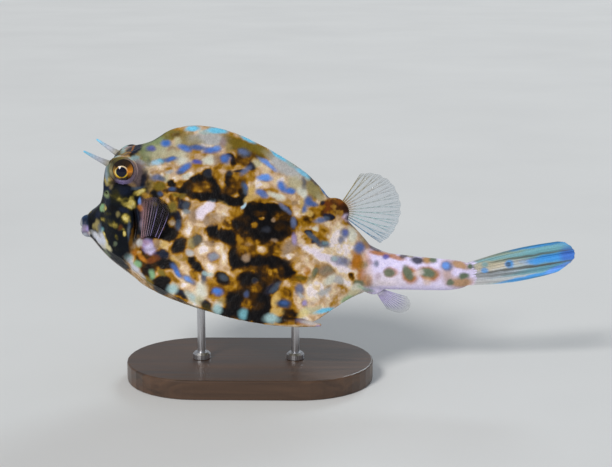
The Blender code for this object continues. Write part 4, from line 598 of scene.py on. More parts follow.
def body_points(along, row, side):
    """Points of the carapace at places along the body and rows round it, on the side of -Y or +Y."""
    along, row = np.broadcast_arrays(np.asarray(along, float), np.asarray(row, float))
    shape = along.shape
    along, row = along.ravel(), row.ravel()
    sizes = {
        field: smooth_curve(KNOTS, [getattr(s, field) for s in STATIONS], along)
        for field in Station._fields
    }
    zero = np.zeros_like(along)
    width, ridge, full = sizes["half_width"], sizes["ridge"], sizes["fullness"]
    side_widths = [width * (t + (h - t) * full) for t, h in zip(TRUNK_SIDE, HEAD_SIDE)]
    side_rows = [CREST_ROW + (RIDGE_ROW - CREST_ROW) * q for q in SIDE_QUARTERS]
    upper_rows = [0.0, CREST_ROW, *side_rows, RIDGE_ROW]
    upper_down = np.stack([zero, sizes["crest_drop"], *[ridge * q for q in SIDE_QUARTERS], ridge], axis=1)
    upper_out = np.stack([zero, sizes["crest"], *side_widths, width], axis=1)
    belly_rows = [RIDGE_ROW, (RIDGE_ROW + 1) / 2, 1.0]
    belly_down = np.stack([ridge, 1 - (1 - ridge) * BELLY_SAG * 0.5, zero + 1.0], axis=1)
    belly_out = np.stack([width, width * 0.55, zero], axis=1)
    above = row <= RIDGE_ROW
    down = np.where(
        above,
        smooth_curve(upper_rows, upper_down, np.minimum(row, RIDGE_ROW)),
        smooth_curve(belly_rows, belly_down, np.maximum(row, RIDGE_ROW)),
    )
    out = np.where(
        above,
        smooth_curve(upper_rows, upper_out, np.minimum(row, RIDGE_ROW)),
        smooth_curve(belly_rows, belly_out, np.maximum(row, RIDGE_ROW)),
    )
    x = sizes["back_x"] + (sizes["under_x"] - sizes["back_x"]) * down
    z = sizes["back_z"] + (sizes["under_z"] - sizes["back_z"]) * down
    return np.stack([x * MM, side * out * MM, z * MM], axis=-1).reshape(*shape, 3)


def grid_faces(rows, columns, closed=False, looped=False):
    """Quads over a grid of points stored row by row.

    closed joins the ends of each row, and looped joins the last row to the first.
    """
    faces = []
    for r in range(rows if looped else rows - 1):
        for c in range(columns if closed else columns - 1):
            d, s = (c + 1) % columns, (r + 1) % rows
            faces.append((r * columns + c, r * columns + d, s * columns + d, s * columns + c))
    return faces


def rings_piece(name, rings):
    """A closed piece from rings of points with the same count, and flat ends."""
    count = len(rings[0])
    faces = grid_faces(len(rings), count, closed=True)
    faces.append(tuple(range(count)))
    faces.append(tuple(range((len(rings) - 1) * count, len(rings) * count)))
    return mesh_piece(name, [p for ring in rings for p in ring], faces)


def round_turn(count):
    """Angles in radians, evenly spaced round a full turn."""
    return np.linspace(0, 2 * math.pi, count + 1)[:-1]


def carapace_form():
    """The head and trunk, with a short hollow behind the lips."""
    along = np.linspace(KNOTS[0], KNOTS[-1], 300)
    rows = np.concatenate([
        np.linspace(0, CREST_ROW, 9)[:-1],
        np.linspace(CREST_ROW, RIDGE_ROW, 100)[:-1],
        np.linspace(RIDGE_ROW, 1, 48),
    ])
    near = body_points(along[:, None], rows[None, :], -1)
    far = body_points(along[:, None], rows[None, 1:-1], 1)[:, ::-1]
    rings = np.concatenate([near, far], axis=1)
    lip_line = rings[0].mean(axis=0)
    hollow = [
        lip_line + (rings[0] - lip_line) * share + np.array([depth * MM, 0, 0])
        for share, depth in ((0.25, 7.0), (0.45, 6.0), (0.55, 0.2))
    ]
    return rings_piece("carapace_form", [*hollow, *rings])


def stalk_form():
    """The tail stalk, begun a little inside the trunk."""
    sizes = np.array([*STALK_SIZES, *STALK_END])
    knots = sizes[:, 0]
    places = np.linspace(knots[0] - 8, knots[-1], 90)
    inside = np.maximum(places, knots[0])
    back, under, half = (smooth_curve(knots, sizes[:, n], inside) for n in (1, 2, 3))
    rings = [
        [place((x, h * math.sin(a), (b + u) / 2 + (b - u) / 2 * math.cos(a))) for a in round_turn(64)]
        for x, b, u, h in zip(places, back, under, half)
    ]
    return rings_piece("stalk_form", rings)


def horn_rings(root, tip, radii, rise, flat=1.0, turns=24, steps=28):
    """Rings of a horn from root to tip. Its middle sags by a quarter of rise, and flat thins it."""
    root, tip = place(root), place(tip)
    axis = (tip - root).normalized()
    across = axis.cross(Vector((0, 0, 1))).normalized()
    over = across.cross(axis).normalized()
    knots = np.linspace(0, 1, len(radii))
    rings = []
    for share in np.linspace(0, 1, steps):
        radius = float(smooth_curve(knots, radii, share)[0])
        centre = root.lerp(tip, share) + Vector((0, 0, rise * MM * (share**2 - share)))
        rings.append([
            centre + (across * math.cos(a) + over * math.sin(a) * flat) * radius * MM
            for a in (2 * math.pi * n / turns for n in range(turns))
        ])
    return rings


def ball_form(name, centre, radii, turn=None, segments=40, rings=24):
    """An ellipsoid round a centre, turned by a matrix."""
    mesh = bpy.data.meshes.new(name)
    shape = bmesh.new()
    bmesh.ops.create_uvsphere(shape, u_segments=segments, v_segments=rings, radius=1.0)
    pose = Matrix.Translation(place(centre)) @ (turn or Matrix.Identity(4))
    sizes = Matrix.Diagonal((*[r * MM for r in radii], 1))
    bmesh.ops.transform(shape, matrix=pose @ sizes, verts=shape.verts)
    shape.to_mesh(mesh)
    shape.free()
    mesh.shade_smooth()
    return placed(name, mesh)


def hoop_piece(name, rings):
    """A closed hoop through rings of points with the same count."""
    faces = grid_faces(len(rings), len(rings[0]), closed=True, looped=True)
    return mesh_piece(name, [p for ring in rings for p in ring], faces)


def orbit_form(side):
    """The ring of flesh round an eye."""
    centre = Vector((EYE_CENTRE[0], side * (EYE_CENTRE[1] + ORBIT_OUT), EYE_CENTRE[2]))
    rings = []
    for a in round_turn(64):
        out = Vector((math.cos(a), 0, math.sin(a)))
        middle = centre + out * ORBIT_RADIUS
        rings.append([
            (middle + (out * math.cos(b) + Vector((0, side, 0)) * math.sin(b)) * ORBIT_RIM) * MM
            for b in round_turn(24)
        ])
    return hoop_piece("orbit_form", rings)


def lip_form():
    """Both lips: a roll round the mouth, drawn back and thinner at its two corners."""
    rings = []
    for a in round_turn(96):
        corner = math.exp(-(math.sin(a) / 0.22) ** 2)
        thick = LIP_THICKNESS * (1 - 0.15 * corner + LIP_SWELL * math.sin(a) ** 2)
        reach = (LIP_REACH - 0.5 * (math.sin(a) < 0) * abs(math.sin(a))) * (1 - 0.38 * corner)
        out = Vector((0, math.cos(a), math.sin(a)))
        middle = Vector((
            MOUTH_CENTRE[0], MOUTH_HALF_WIDTH * math.cos(a), MOUTH_CENTRE[1] + MOUTH_HALF_HEIGHT * math.sin(a)
        ))
        rings.append([
            (middle + out * math.cos(b) * thick + Vector((-1, 0, 0)) * math.sin(b) * reach) * MM
            for b in round_turn(40)
        ])
    return hoop_piece("lip_form", rings)


def side_place(x, z, side):
    """The point on the carapace's side at x and z in millimetres, also in millimetres."""
    along, row = np.meshgrid(np.linspace(KNOTS[0], KNOTS[-1], 220), np.linspace(CREST_ROW, RIDGE_ROW, 120))
    grid = body_points(along, row, side) / MM
    nearest = np.argmin((grid[..., 0] - x) ** 2 + (grid[..., 2] - z) ** 2)
    return grid.reshape(-1, 3)[nearest]


def pectoral_lobe(side):
    """The fleshy base of a pectoral fin, standing a little out of the side."""
    centre = side_place(*PECTORAL_AT, side) + np.array([0.0, side * 1.2, 0.0])
    return Lobe(tuple(centre), PECTORAL_RADII, 0)


LOBES = (DORSAL_LOBE, ANAL_LOBE, pectoral_lobe(-1), pectoral_lobe(1))


def mirrored(point, side):
    """A point given for the right side, on the side of -Y or +Y."""
    return (point[0], side * point[1], point[2])


def horn_collar(side):
    """The skin that rises round the foot of a horn."""
    rings = horn_rings(mirrored(HORN_ROOT, side), mirrored(HORN_TIP, side), HORN_RADII, HORN_RISE)
    foot = [sum(ring, Vector()) / len(ring) for ring in rings[:8]]
    widened = [
        [middle + (p - middle) * (1.22 - 0.03 * n) for p in ring]
        for n, (ring, middle) in enumerate(zip(rings, foot))
    ]
    return rings_piece("collar_form", widened)


def fused_skin():
    """One closed skin over the head, trunk, tail stalk, lips, fin bases and belly spines."""
    forms = [carapace_form(), stalk_form(), lip_form(), ball_form("snout_form", SNOUT_CENTRE, SNOUT_RADII)]
    for side in (-1, 1):
        forms += [orbit_form(side), horn_collar(side)]
        spine = horn_rings(mirrored(SPINE_ROOT, side), mirrored(SPINE_TIP, side), SPINE_RADII, 0.0, 0.8)
        forms.append(rings_piece("spine_form", spine))
    for lobe in LOBES:
        lean = Matrix.Rotation(math.radians(lobe.lean), 4, "Y")
        forms.append(ball_form("lobe_form", lobe.centre, lobe.radii, lean))
    joined = bmesh.new()
    for form in forms:
        joined.from_mesh(form.data)
        bpy.data.objects.remove(form, do_unlink=True)
    mesh = bpy.data.meshes.new("skin")
    joined.to_mesh(mesh)
    joined.free()
    skin = placed("skin", mesh)
    fuse = skin.modifiers.new("Fuse", "REMESH")
    fuse.mode = "VOXEL"
    fuse.voxel_size = VOXEL * MM
    graph = bpy.context.evaluated_depsgraph_get()
    skin.data = bpy.data.meshes.new_from_object(skin.evaluated_get(graph), depsgraph=graph)
    skin.modifiers.clear()
    return skin


def read_points(mesh):
    points = np.empty(len(mesh.vertices) * 3)
    mesh.vertices.foreach_get("co", points)
    return points.reshape(-1, 3)


def write_points(mesh, points):
    mesh.vertices.foreach_set("co", np.ascontiguousarray(points, np.float32).ravel())
    mesh.update()


def read_normals(mesh):
    normals = np.empty(len(mesh.vertices) * 3, np.float32)
    mesh.vertex_normals.foreach_get("vector", normals)
    return normals.reshape(-1, 3).astype(float)


def read_edges(mesh):
    edges = np.empty(len(mesh.edges) * 2, np.int32)
    mesh.edges.foreach_get("vertices", edges)
    return edges.reshape(-1, 2)


def relax(points, edges, weights, passes, step):
    """Moves each point towards the mean of its neighbours by a step, as far as its weight says."""
    count = len(points)
    ends = np.concatenate([edges[:, 0], edges[:, 1]])
    others = np.concatenate([edges[:, 1], edges[:, 0]])
    degree = np.maximum(np.bincount(ends, minlength=count), 1)[:, None]
    for _ in range(passes):
        mean = np.stack([np.bincount(ends, points[others, n], count) for n in range(3)], axis=1) / degree
        points = points + (mean - points) * weights[:, None] * step
    return points


def step_up(low, high, values):
    """0 below low, 1 above high, and smooth between."""
    t = np.clip((values - low) / (high - low), 0, 1)
    return t * t * (3 - 2 * t)


def blend(under, over, share):
    """Colours taken towards others by a share for each point."""
    return under + (over - under) * share[:, None]


def lattice_value(cell, seed):
    """A random value from -1 to 1 for each cell of a lattice, from a hash of its place."""
    x, y, z = cell[..., 0], cell[..., 1], cell[..., 2]
    mixed = x * 73856093 ^ y * 19349663 ^ z * 83492791 ^ seed * 2971215073
    mixed = (mixed ^ (mixed >> 13)) * 1274126177
    mixed = mixed ^ (mixed >> 16)
    return (mixed & 0xFFFF) / 32767.5 - 1


def noise(points, scale, seed):
    """Smooth noise from -1 to 1 at points, in the unit of scale."""
    scaled = points / scale + 1000.0
    cell = np.floor(scaled).astype(np.int64)
    t = scaled - cell
    t = t * t * (3 - 2 * t)
    total = np.zeros(len(points))
    for corner in np.ndindex(2, 2, 2):
        weight = np.prod([t[:, n] if corner[n] else 1 - t[:, n] for n in range(3)], axis=0)
        total += weight * lattice_value(cell + np.array(corner), seed)
    return total


def rough_noise(points, scale, seed):
    """Noise with two finer and fainter layers, from about -1 to 1."""
    total = sum(noise(points, scale / 2**n, seed + n) / 2**n for n in range(3))
    return total / 1.6


def cells(points, size, seed):
    """Rounded cells of about size millimetres: 0 on their borders, up to 1 in their middles."""
    places = points / size
    corner = np.floor(places).astype(np.int64)
    nearest = np.full(len(points), 9.0)
    second = np.full(len(points), 9.0)
    for step in np.ndindex(3, 3, 3):
        cell = corner + np.array(step) - 1
        jitter = np.stack([lattice_value(cell, seed + n) for n in range(3)], axis=1)
        distance = np.linalg.norm(places - cell - 0.5 - 0.42 * jitter, axis=1)
        second = np.minimum(second, np.maximum(distance, nearest))
        nearest = np.minimum(nearest, distance)
    return np.clip((second - nearest) / 0.6, 0, 1)


def ink(name):
    """A named colour in linear light."""
    values = np.array(INKS[name]) / 255
    return np.where(values <= 0.04045, values / 12.92, ((values + 0.055) / 1.055) ** 2.4)


def cover_of(patch, u, v, wobble):
    """How far a patch covers each place, from 0 to its strength, with an edge that wanders by wobble."""
    angle = math.radians(patch.tilt)
    du, dv = u - patch.u, v - patch.v
    lengthwise = (du * math.cos(angle) - dv * math.sin(angle)) / patch.length
    across = (du * math.sin(angle) + dv * math.cos(angle)) / patch.width
    reach = np.sqrt(lengthwise**2 + across**2) + wobble * min(1.0, 3.2 / patch.width + 0.25)
    return (1 - step_up(1 - patch.soft, 1 + patch.soft, reach)) * patch.strength


def lay(colours, marks, u, v, wobble):
    """Lays marks of ink over the colours."""
    for patch in marks:
        colours += (ink(patch.ink) - colours) * cover_of(patch, u, v, wobble)[:, None]
    return colours


def brightness(colours):
    """How bright linear colours look."""
    return colours @ np.array([0.2126, 0.7152, 0.0722])


def blended(ramp, tones):
    """Colours on a ramp of (tone, ink) steps."""
    steps = np.array([ink(name) for _, name in ramp]) ** 0.5
    at = [tone for tone, _ in ramp]
    return np.stack([np.interp(tones, at, steps[:, n]) for n in range(3)], axis=1) ** 2


def tone_of(name, ramp):
    """The tone of an ink on a ramp, or of the ramp's colour that is as bright."""
    tones = {step: tone for tone, step in ramp}
    if name in tones:
        return tones[name]
    return np.interp(brightness(ink(name)), [brightness(ink(step)) for step in tones], list(tones.values()))


def marbled(marks, ramp, start, u, v, wobble, grain):
    """Colours of marks that melt into each other through the ramp's colours, as pigment cells do.

    An ink of the ramp only sets the tone, and another ink tints what it covers.
    """
    own = {name for _, name in ramp}
    tone = np.full(len(u), float(start))
    tint, weight = np.zeros((len(u), 3)), np.zeros(len(u))
    for patch in marks:
        cover = cover_of(patch, u, v, wobble)
        tone += (tone_of(patch.ink, ramp) - tone) * cover
        tint *= (1 - cover)[:, None]
        weight *= 1 - cover
        if patch.ink not in own:
            tint += ink(patch.ink) * cover[:, None]
            weight += cover
    tone = np.clip(tone + grain * (0.35 + 0.65 * np.clip(tone * 2.5, 0, 1)), 0, 1)
    return blended(ramp, tone**1.1) * (1 - weight)[:, None] + tint


def camera_way():
    """The direction from the fish to the camera."""
    azimuth, elevation = math.radians(AZIMUTH), math.radians(ELEVATION)
    level = math.cos(elevation)
    return np.array([math.sin(azimuth) * level, -math.cos(azimuth) * level, math.sin(elevation)])


def photo_place(points):
    """Where points are seen in the photograph, in its pixels, by its camera."""
    azimuth = math.radians(AZIMUTH)
    back = camera_way()
    right = np.array([math.cos(azimuth), math.sin(azimuth), 0.0])
    up = np.cross(back, right)
    offset = points - (np.array(TARGET) + DISTANCE * back)
    depth = -(offset @ back)
    u = IMAGE_WIDTH / 2 + FOCAL_PIXELS * (offset @ right) / depth
    v = IMAGE_HEIGHT / 2 - FOCAL_PIXELS * (offset @ up) / depth
    return u, v


def near_side(points):
    """The points, with those of the far side mirrored to the near one."""
    folded = points.copy()
    folded[:, 1] = -np.abs(folded[:, 1])
    return folded


def body_places(points):
    """The place along the body, the row and the distance of the nearest point of the carapace."""
    along = np.linspace(KNOTS[0], KNOTS[-1], 240)
    rows = np.linspace(0, 1, 170)
    grid = body_points(along[:, None], rows[None, :], -1)
    lengthwise = np.gradient(grid, along, axis=0).reshape(-1, 3)
    round_it = np.gradient(grid, rows, axis=1).reshape(-1, 3)
    flat = grid.reshape(-1, 3)
    tree = KDTree(len(flat))
    for n, point in enumerate(flat):
        tree.insert(point, n)
    tree.balance()
    folded = near_side(points)
    nearest = np.array([tree.find(p)[1] for p in folded])
    offset = folded - flat[nearest]
    step_along, step_row = (
        np.sum(offset * way[nearest], 1) / np.maximum(np.sum(way[nearest] ** 2, 1), 1e-12)
        for way in (lengthwise, round_it)
    )
    spacing_along, spacing_row = along[1] - along[0], rows[1] - rows[0]
    place_along = along[nearest // len(rows)] + np.clip(step_along, -spacing_along, spacing_along)
    place_row = rows[nearest % len(rows)] + np.clip(step_row, -spacing_row, spacing_row)
    return place_along, np.clip(place_row, 0, 1), np.linalg.norm(offset, axis=1) / MM


def plate_edges(along, row):
    """How far each point is from the border of its bony plate, from 0 on it."""
    column = (along - KNOTS[HEAD_END]) / (KNOTS[-1] - KNOTS[HEAD_END]) * TRUNK_COLUMNS
    side_line = (row - CREST_ROW) / (RIDGE_ROW - CREST_ROW) * SIDE_PLATE_ROWS
    belly_line = (row - RIDGE_ROW) / (1 - RIDGE_ROW) * BELLY_PLATE_ROWS + 40
    line = np.where(row < RIDGE_ROW, side_line, belly_line)
    nearest = np.full(len(along), 9.0)
    second = np.full(len(along), 9.0)
    base = np.floor(line).astype(np.int64)
    for step in (-1, 0, 1):
        strip = base + step
        offset = (strip % 2).astype(float)
        middle = np.round((column - 1 - offset) / 2) * 2 + 1 + offset
        for shift in (-2, 0, 2):
            centre = middle + shift
            distance = np.hypot((column - centre) / 1.15, line - (strip + 0.5))
            second = np.minimum(second, np.maximum(distance, nearest))
            nearest = np.minimum(nearest, distance)
    return second - nearest


def lobe_reach(p, lobe):
    """How far points in millimetres are from a lobe's middle, as a share of the way to its surface."""
    turn = math.radians(lobe.lean)
    x, y, z = (p - np.array(lobe.centre)).T
    x, z = x * math.cos(turn) - z * math.sin(turn), x * math.sin(turn) + z * math.cos(turn)
    return np.sqrt((x / lobe.radii[0]) ** 2 + (y / lobe.radii[1]) ** 2 + (z / lobe.radii[2]) ** 2)


def orbit_distance(p):
    """How far points in millimetres are from the nearer orbit's rim, and from its axis."""
    out = np.hypot(p[:, 0] - EYE_CENTRE[0], p[:, 2] - EYE_CENTRE[2])
    return np.hypot(out - ORBIT_RADIUS, np.abs(p[:, 1]) - EYE_CENTRE[1] - ORBIT_OUT), out


def joint_weights(p):
    """How far points near the joints of the forms are smoothed, from 0 to 1."""
    x, y, z = p.T
    root = STALK_SIZES[0][0]
    weights = 1 - step_up(2.0, 6.5, np.abs(x - root - 0.5))
    for lobe in LOBES:
        weights = np.maximum(weights, 1 - step_up(1.15, 1.7, lobe_reach(p, lobe)))
    rim, _ = orbit_distance(p)
    weights = np.maximum(weights, step_up(0.5, 1.2, rim) * (1 - step_up(3.0, 6.5, rim)))
    weights = np.maximum(weights, 1 - step_up(1.5, 4.0, np.abs(x - LIP_JOINT)))
    for centre, near, far in ((HORN_ROOT, 4.0, 7.5), (SPINE_ROOT, 5.0, 9.0)):
        away = np.linalg.norm(p * np.array([1, 0, 1]) - np.array([centre[0], 0, centre[2]]), axis=1)
        beside = np.abs(np.abs(y) - centre[1])
        weights = np.maximum(weights, (1 - step_up(near, far, np.hypot(away, beside))) * 0.8)
    return weights


def lip_zone(p):
    """1 on the lips, 0 away from them."""
    across = p[:, 1] / (MOUTH_HALF_WIDTH + LIP_THICKNESS)
    over = (p[:, 2] - MOUTH_CENTRE[1]) / (MOUTH_HALF_HEIGHT + LIP_THICKNESS * (1 + LIP_SWELL))
    return (1 - step_up(0.95, 1.2, np.hypot(across, over))) * (1 - step_up(*LIP_REAR, p[:, 0]))


def carved_depths(p, along, row, distance):
    """How far each point moves out along its normal, in millimetres, for plates, gill slits and nostrils.

    Also how far it lies in a slit and in a nostril, each from 0 to 1.
    """
    x, y, z = p.T
    free = 1 - step_up(0.5, 1.4, distance)
    rim, out = orbit_distance(p)
    free = free * step_up(2.0, 5.0, rim) * step_up(ORBIT_RADIUS, ORBIT_RADIUS + 3, out)
    free = free * (1 - lip_zone(p)) * (1 - step_up(*PLATES_END, x)) * step_up(*PLATES_START, x)
    border = plate_edges(along, row)
    depth = -GROOVE_DEPTH * (1 - step_up(0.0, 0.42, border)) * free * (0.45 + 0.55 * step_up(*PLATES_FULL, x))
    depth += 0.05 * noise(p, 2.4, 71) * free
    middle = (np.array(GILL_TOP) + np.array(GILL_FOOT)) / 2
    half = (GILL_TOP[1] - GILL_FOOT[1]) / 2
    height = (z - middle[1]) / half
    across = (x - middle[0] + 1.6 * height**2) / GILL_WIDTH
    open_there = np.clip(1 - np.abs(height) ** 2.5, 0, 1)
    slit = open_there * (1 - step_up(0.2, 1.0, np.abs(across)))
    lid = open_there * np.exp(-((across + 1.9) / 0.9) ** 2)
    depth += -GILL_DEPTH * slit + LID_HEIGHT * lid
    hole = np.hypot(x - NOSTRIL_AT[0], z - NOSTRIL_AT[1]) / NOSTRIL_RADIUS
    hole = np.where(np.abs(y) > 8, hole, 9.0)
    rim_height = 0.35 * np.exp(-((hole - 1.7) / 0.5) ** 2)
    depth += -NOSTRIL_DEPTH * (1 - step_up(0.35, 1.05, hole)) + rim_height
    return depth, slit, 1 - step_up(0.5, 1.3, hole)


def sculpted_skin():
    """The skin with its forms smoothed together and its plates, slits and pits carved."""
    skin = fused_skin()
    mesh = skin.data
    points, edges = read_points(mesh), read_edges(mesh)
    everywhere = np.ones(len(points))
    for _ in range(SMOOTH_PASSES):
        points = relax(points, edges, everywhere, 1, STEP_IN)
        points = relax(points, edges, everywhere, 1, STEP_OUT)
    points = relax(points, edges, joint_weights(points / MM), JOINT_PASSES, STEP_IN)
    write_points(mesh, points)
    along, row, distance = body_places(points)
    normals = read_normals(mesh)
    depth, slit, pit = carved_depths(points / MM, along, row, distance)
    points = points + normals * depth[:, None] * MM
    write_points(mesh, points)
    colours = skin_colours(points, along, row, distance, normals)
    # Painted shade: the gill slits are painted nearly black, as the shade inside them
    colours = blend(colours, ink("black"), 0.9 * np.clip(slit * 1.4, 0, 1))
    # Painted shade: the nostrils are painted dark umber, as the shade inside the pits
    set_paint(mesh, blend(colours, ink("umber") * 0.4, pit))
    mesh.shade_smooth()
    mesh.materials.clear()
    mesh.materials.append(skin_material())
    dress(
        skin, "skin", "head", "trunk", "tail_stalk", "lip_upper", "lip_lower",
        "belly_spine_left", "belly_spine_right",
    )


def set_paint(mesh, colours):
    """Stores a linear colour for each vertex."""
    layer = mesh.attributes.new("paint", "FLOAT_COLOR", "POINT")
    values = np.ones((len(mesh.vertices), 4), np.float32)
    values[:, :3] = np.clip(colours, 0, 1)
    layer.data.foreach_set("color", values.ravel())


def rimmed(marks, grow, name, strength):
    """The same marks a little larger in another ink, to be laid under them."""
    return [
        p._replace(length=p.length + grow, width=p.width + grow, ink=name, strength=strength, soft=0.3)
        for p in marks
    ]


def side_colours(p, u, v):
    """The marks of the head and trunk, for points p that the photograph would show at u, v."""
    ragged = np.stack([noise(p, 4.6, 21), noise(p, 4.6, 31)], axis=1) * 1.3
    ragged += np.stack([noise(p, 1.9, 24), noise(p, 1.9, 34)], axis=1) * 0.8
    wobble = 0.30 * rough_noise(p, 2.8, 41)
    grain = 0.10 * noise(p, 4.8, 55) + 0.09 * noise(p, 2.1, 59) + 0.08 * (cells(p, 5.0, 65) - 0.4)
    specks = noise(p, 3.4, 71)
    grain += 0.13 * step_up(0.30, 0.55, specks) - 0.10 * step_up(0.34, 0.60, -specks)
    rough_u, rough_v = u + ragged[:, 0], v + ragged[:, 1]
    colours = marbled([*GROUND, *DARK, *LIGHT], EARTH, 0.74, rough_u, rough_v, wobble, grain)
    fine_u, fine_v = u + 0.65 * ragged[:, 0], v + 0.65 * ragged[:, 1]
    for marks in (rimmed(BLUE, 1.0, "groove", 0.3), BLUE, EDGE):
        lay(colours, marks, fine_u, fine_v, wobble * 0.6)
    flecks = 0.46 * rough_noise(p, 3.0, 57) - 0.04
    face = marbled(FACE, MASK, 0.0, u + 0.75 * ragged[:, 0], v + 0.75 * ragged[:, 1], wobble, flecks)
    area = np.max([cover_of(patch, u, v, wobble) for patch in FACE_AREAS], axis=0)
    colours = blend(colours, face, area)
    lay(colours, BROW, fine_u, fine_v, wobble)
    return lay(colours, BASES, fine_u, fine_v, wobble * 0.5)


def stalk_colours(p, u, v):
    """The pale lilac stalk with its marks."""
    wobble = 0.16 * rough_noise(p, 3.4, 41)
    u, v = u + 1.2 * rough_noise(p, 4.0, 22), v + 1.2 * rough_noise(p, 4.0, 32)
    return lay(np.tile(ink("lilac"), (len(p), 1)), STALK, u, v, wobble)


def skin_colours(points, along, row, distance, normals):
    """The colours of the whole skin, from its places on the carapace and its normals."""
    p = points / MM
    x, y = p[:, 0], p[:, 1]
    u, v = photo_place(near_side(points))
    far = step_up(0, 12, y)
    u, v = u + noise(p, 26, 11) * 6.0 * far, v + noise(p, 26, 12) * 6.0 * far
    # Across the front of the face the marks go on round the corner instead of being drawn out
    turned = step_up(0.4, 0.85, -normals[:, 0]) * (1 - step_up(*FACE_REAR, x))
    shift = turned * np.clip(CORNER_WIDTH - np.abs(y), 0, CORNER_WIDTH) * CORNER_SHARE
    colours = side_colours(p, u - shift, v)

    elevation = math.radians(ELEVATION)
    facing = np.abs(normals[:, 1]) * math.cos(elevation) + normals[:, 2] * math.sin(elevation)
    on_carapace = 1 - step_up(0.6, 1.4, distance)
    chin = 1 - step_up(*CHIN_REAR, x)
    under = step_up(RIDGE_ROW - 0.02, RIDGE_ROW, row) * on_carapace
    under = under * (1 - step_up(0.0, 0.24, facing - 0.14 * chin))
    throat = step_up(0.15, 0.50, -normals[:, 2]) * (1 - step_up(0.0, 0.16, facing))
    throat = throat * (1 - step_up(*THROAT_REAR, x))
    colours = blend(colours, belly_colours(p, along, row), np.maximum(under, throat * on_carapace))

    ahead = (1 - step_up(CREST_ROW * 0.8, CREST_ROW * 1.25, row)) * step_up(0.35, 0.7, -normals[:, 0])
    colours = blend(colours, front_colours(p), ahead * on_carapace)

    behind = step_up(*STALK_START, x + 2.6 * rough_noise(p, 6.0, 51))
    colours = blend(colours, stalk_colours(p, u, v), behind)

    wobble = 0.24 * rough_noise(p, 3.4, 41)
    dorsal = lay(np.tile(ink("rust"), (len(p), 1)), DORSAL_MARKS, u, v, wobble)
    dorsal = blend(dorsal, ink("soot"), 0.85 * step_up(0.0, 0.45, rough_noise(p, 3.0, 61)))
    dorsal = blend(dorsal, ink("ochre"), 0.8 * step_up(0.1, 0.5, rough_noise(p, 3.4, 63)))
    on_lobe = 1 - step_up(1.0, 1.5, lobe_reach(p, DORSAL_LOBE) + 0.2 * rough_noise(p, 2.5, 65))
    colours = blend(colours, dorsal, on_lobe)

    colours = blend(colours, lip_colours(p, u, v), lip_zone(p))
    mottle_and_back_shade = 1 + 0.13 * rough_noise(p, 2.2, 81) + 0.08 * noise(p, 0.9, 91)
    # Painted shade: the back is painted a little darker than the flanks, to tone down the key lamp's light
    # from above
    mottle_and_back_shade -= 0.12 * (1 - step_up(0.15, 0.60, row)) * (1 - behind)
    return colours * mottle_and_back_shade[:, None]


def belly_colours(p, along, row):
    """The belly: pale cream plates with greyer borders, and soft tan clouds."""
    border = plate_edges(along, row)
    colours = blend(ink("bone"), ink("tan"), 0.35 * step_up(-0.1, 0.6, rough_noise(p, 16, 101)))
    colours = blend(colours, ink("khaki") * 0.8, 0.45 * (1 - step_up(0.02, 0.2, border)))
    colours = blend(colours, ink("ice"), 0.4 * (1 - step_up(RIDGE_ROW + 0.01, RIDGE_ROW + 0.09, row)))
    return blend(colours, ink("white"), 0.8 * (1 - step_up(*WHITE_CHIN_REAR, p[:, 0])))


def front_colours(p):
    """The front of the face: blue-black with small olive and yellow flecks."""
    flecks = rough_noise(p, 4.5, 111)
    colours = np.tile(ink("navy"), (len(p), 1)) * (0.8 + 0.3 * noise(p, 7, 121))[:, None]
    colours = blend(colours, ink("olive"), step_up(0.22, 0.42, flecks))
    colours = blend(colours, ink("yellow"), step_up(0.50, 0.66, flecks))
    # A pale line runs down the middle of the snout to the upper lip
    line = 1 - step_up(*SNOUT_LINE_HALF, np.abs(p[:, 1] + 0.8 * noise(p, 5.0, 123)))
    return blend(colours, ink("ice"), 0.8 * line * (1 - step_up(*SNOUT_LINE_TOP, p[:, 2])))


def lip_colours(p, u, v):
    """Dark teal upper lip, paler lilac and pink lower lip, and the dark mouth between them."""
    colours = lay(np.tile(ink("slate"), (len(p), 1)), LIPS, u, v, 0.2 * rough_noise(p, 2.5, 131))
    inside = np.hypot(p[:, 1] / 4.2, (p[:, 2] - MOUTH_CENTRE[1]) / 0.9)
    # Painted shade: the opening of the mouth is painted black, as the shade inside it
    return blend(colours, ink("black"), (1 - step_up(0.7, 1.15, inside)) * step_up(-149.0, -147.0, p[:, 0]))


def new_material(name):
    """A new material, its node tree and its Principled shader."""
    made = bpy.data.materials.new(name)
    made.use_nodes = True
    tree = made.node_tree
    shader = next(n for n in tree.nodes if n.type == "BSDF_PRINCIPLED")
    return made, tree, shader


def feed(tree, node, inputs):
    """Gives a node's inputs their values, or links into them. Keys are names or numbers."""
    for key, value in inputs.items():
        if isinstance(value, bpy.types.NodeSocket):
            tree.links.new(value, node.inputs[key])
        else:
            node.inputs[key].default_value = value


def add_node(tree, kind, inputs=None, **settings):
    """A node with its settings, and with values or links in its inputs."""
    node = tree.nodes.new(kind)
    for key, value in settings.items():
        setattr(node, key, value)
    feed(tree, node, inputs or {})
    return node


def object_space(tree):
    return add_node(tree, "ShaderNodeTexCoord").outputs["Object"]


def noise_value(tree, scale, detail=4.0):
    """A noise texture over the object's own space, scale in lumps per metre."""
    inputs = {"Vector": object_space(tree), "Scale": scale, "Detail": detail, "Roughness": 0.55}
    return add_node(tree, "ShaderNodeTexNoise", inputs).outputs["Fac"]


def cell_distance(tree, scale):
    """How far each place is from the middle of its cell, scale in cells per metre."""
    inputs = {"Vector": object_space(tree), "Scale": scale}
    return add_node(tree, "ShaderNodeTexVoronoi", inputs).outputs["Distance"]


def ranged(tree, value, low, high):
    """Noise, which runs from about 0.3 to 0.7, as a number from low to high."""
    return add_node(tree, "ShaderNodeMapRange", {0: value, 1: 0.3, 2: 0.7, 3: low, 4: high}).outputs[0]


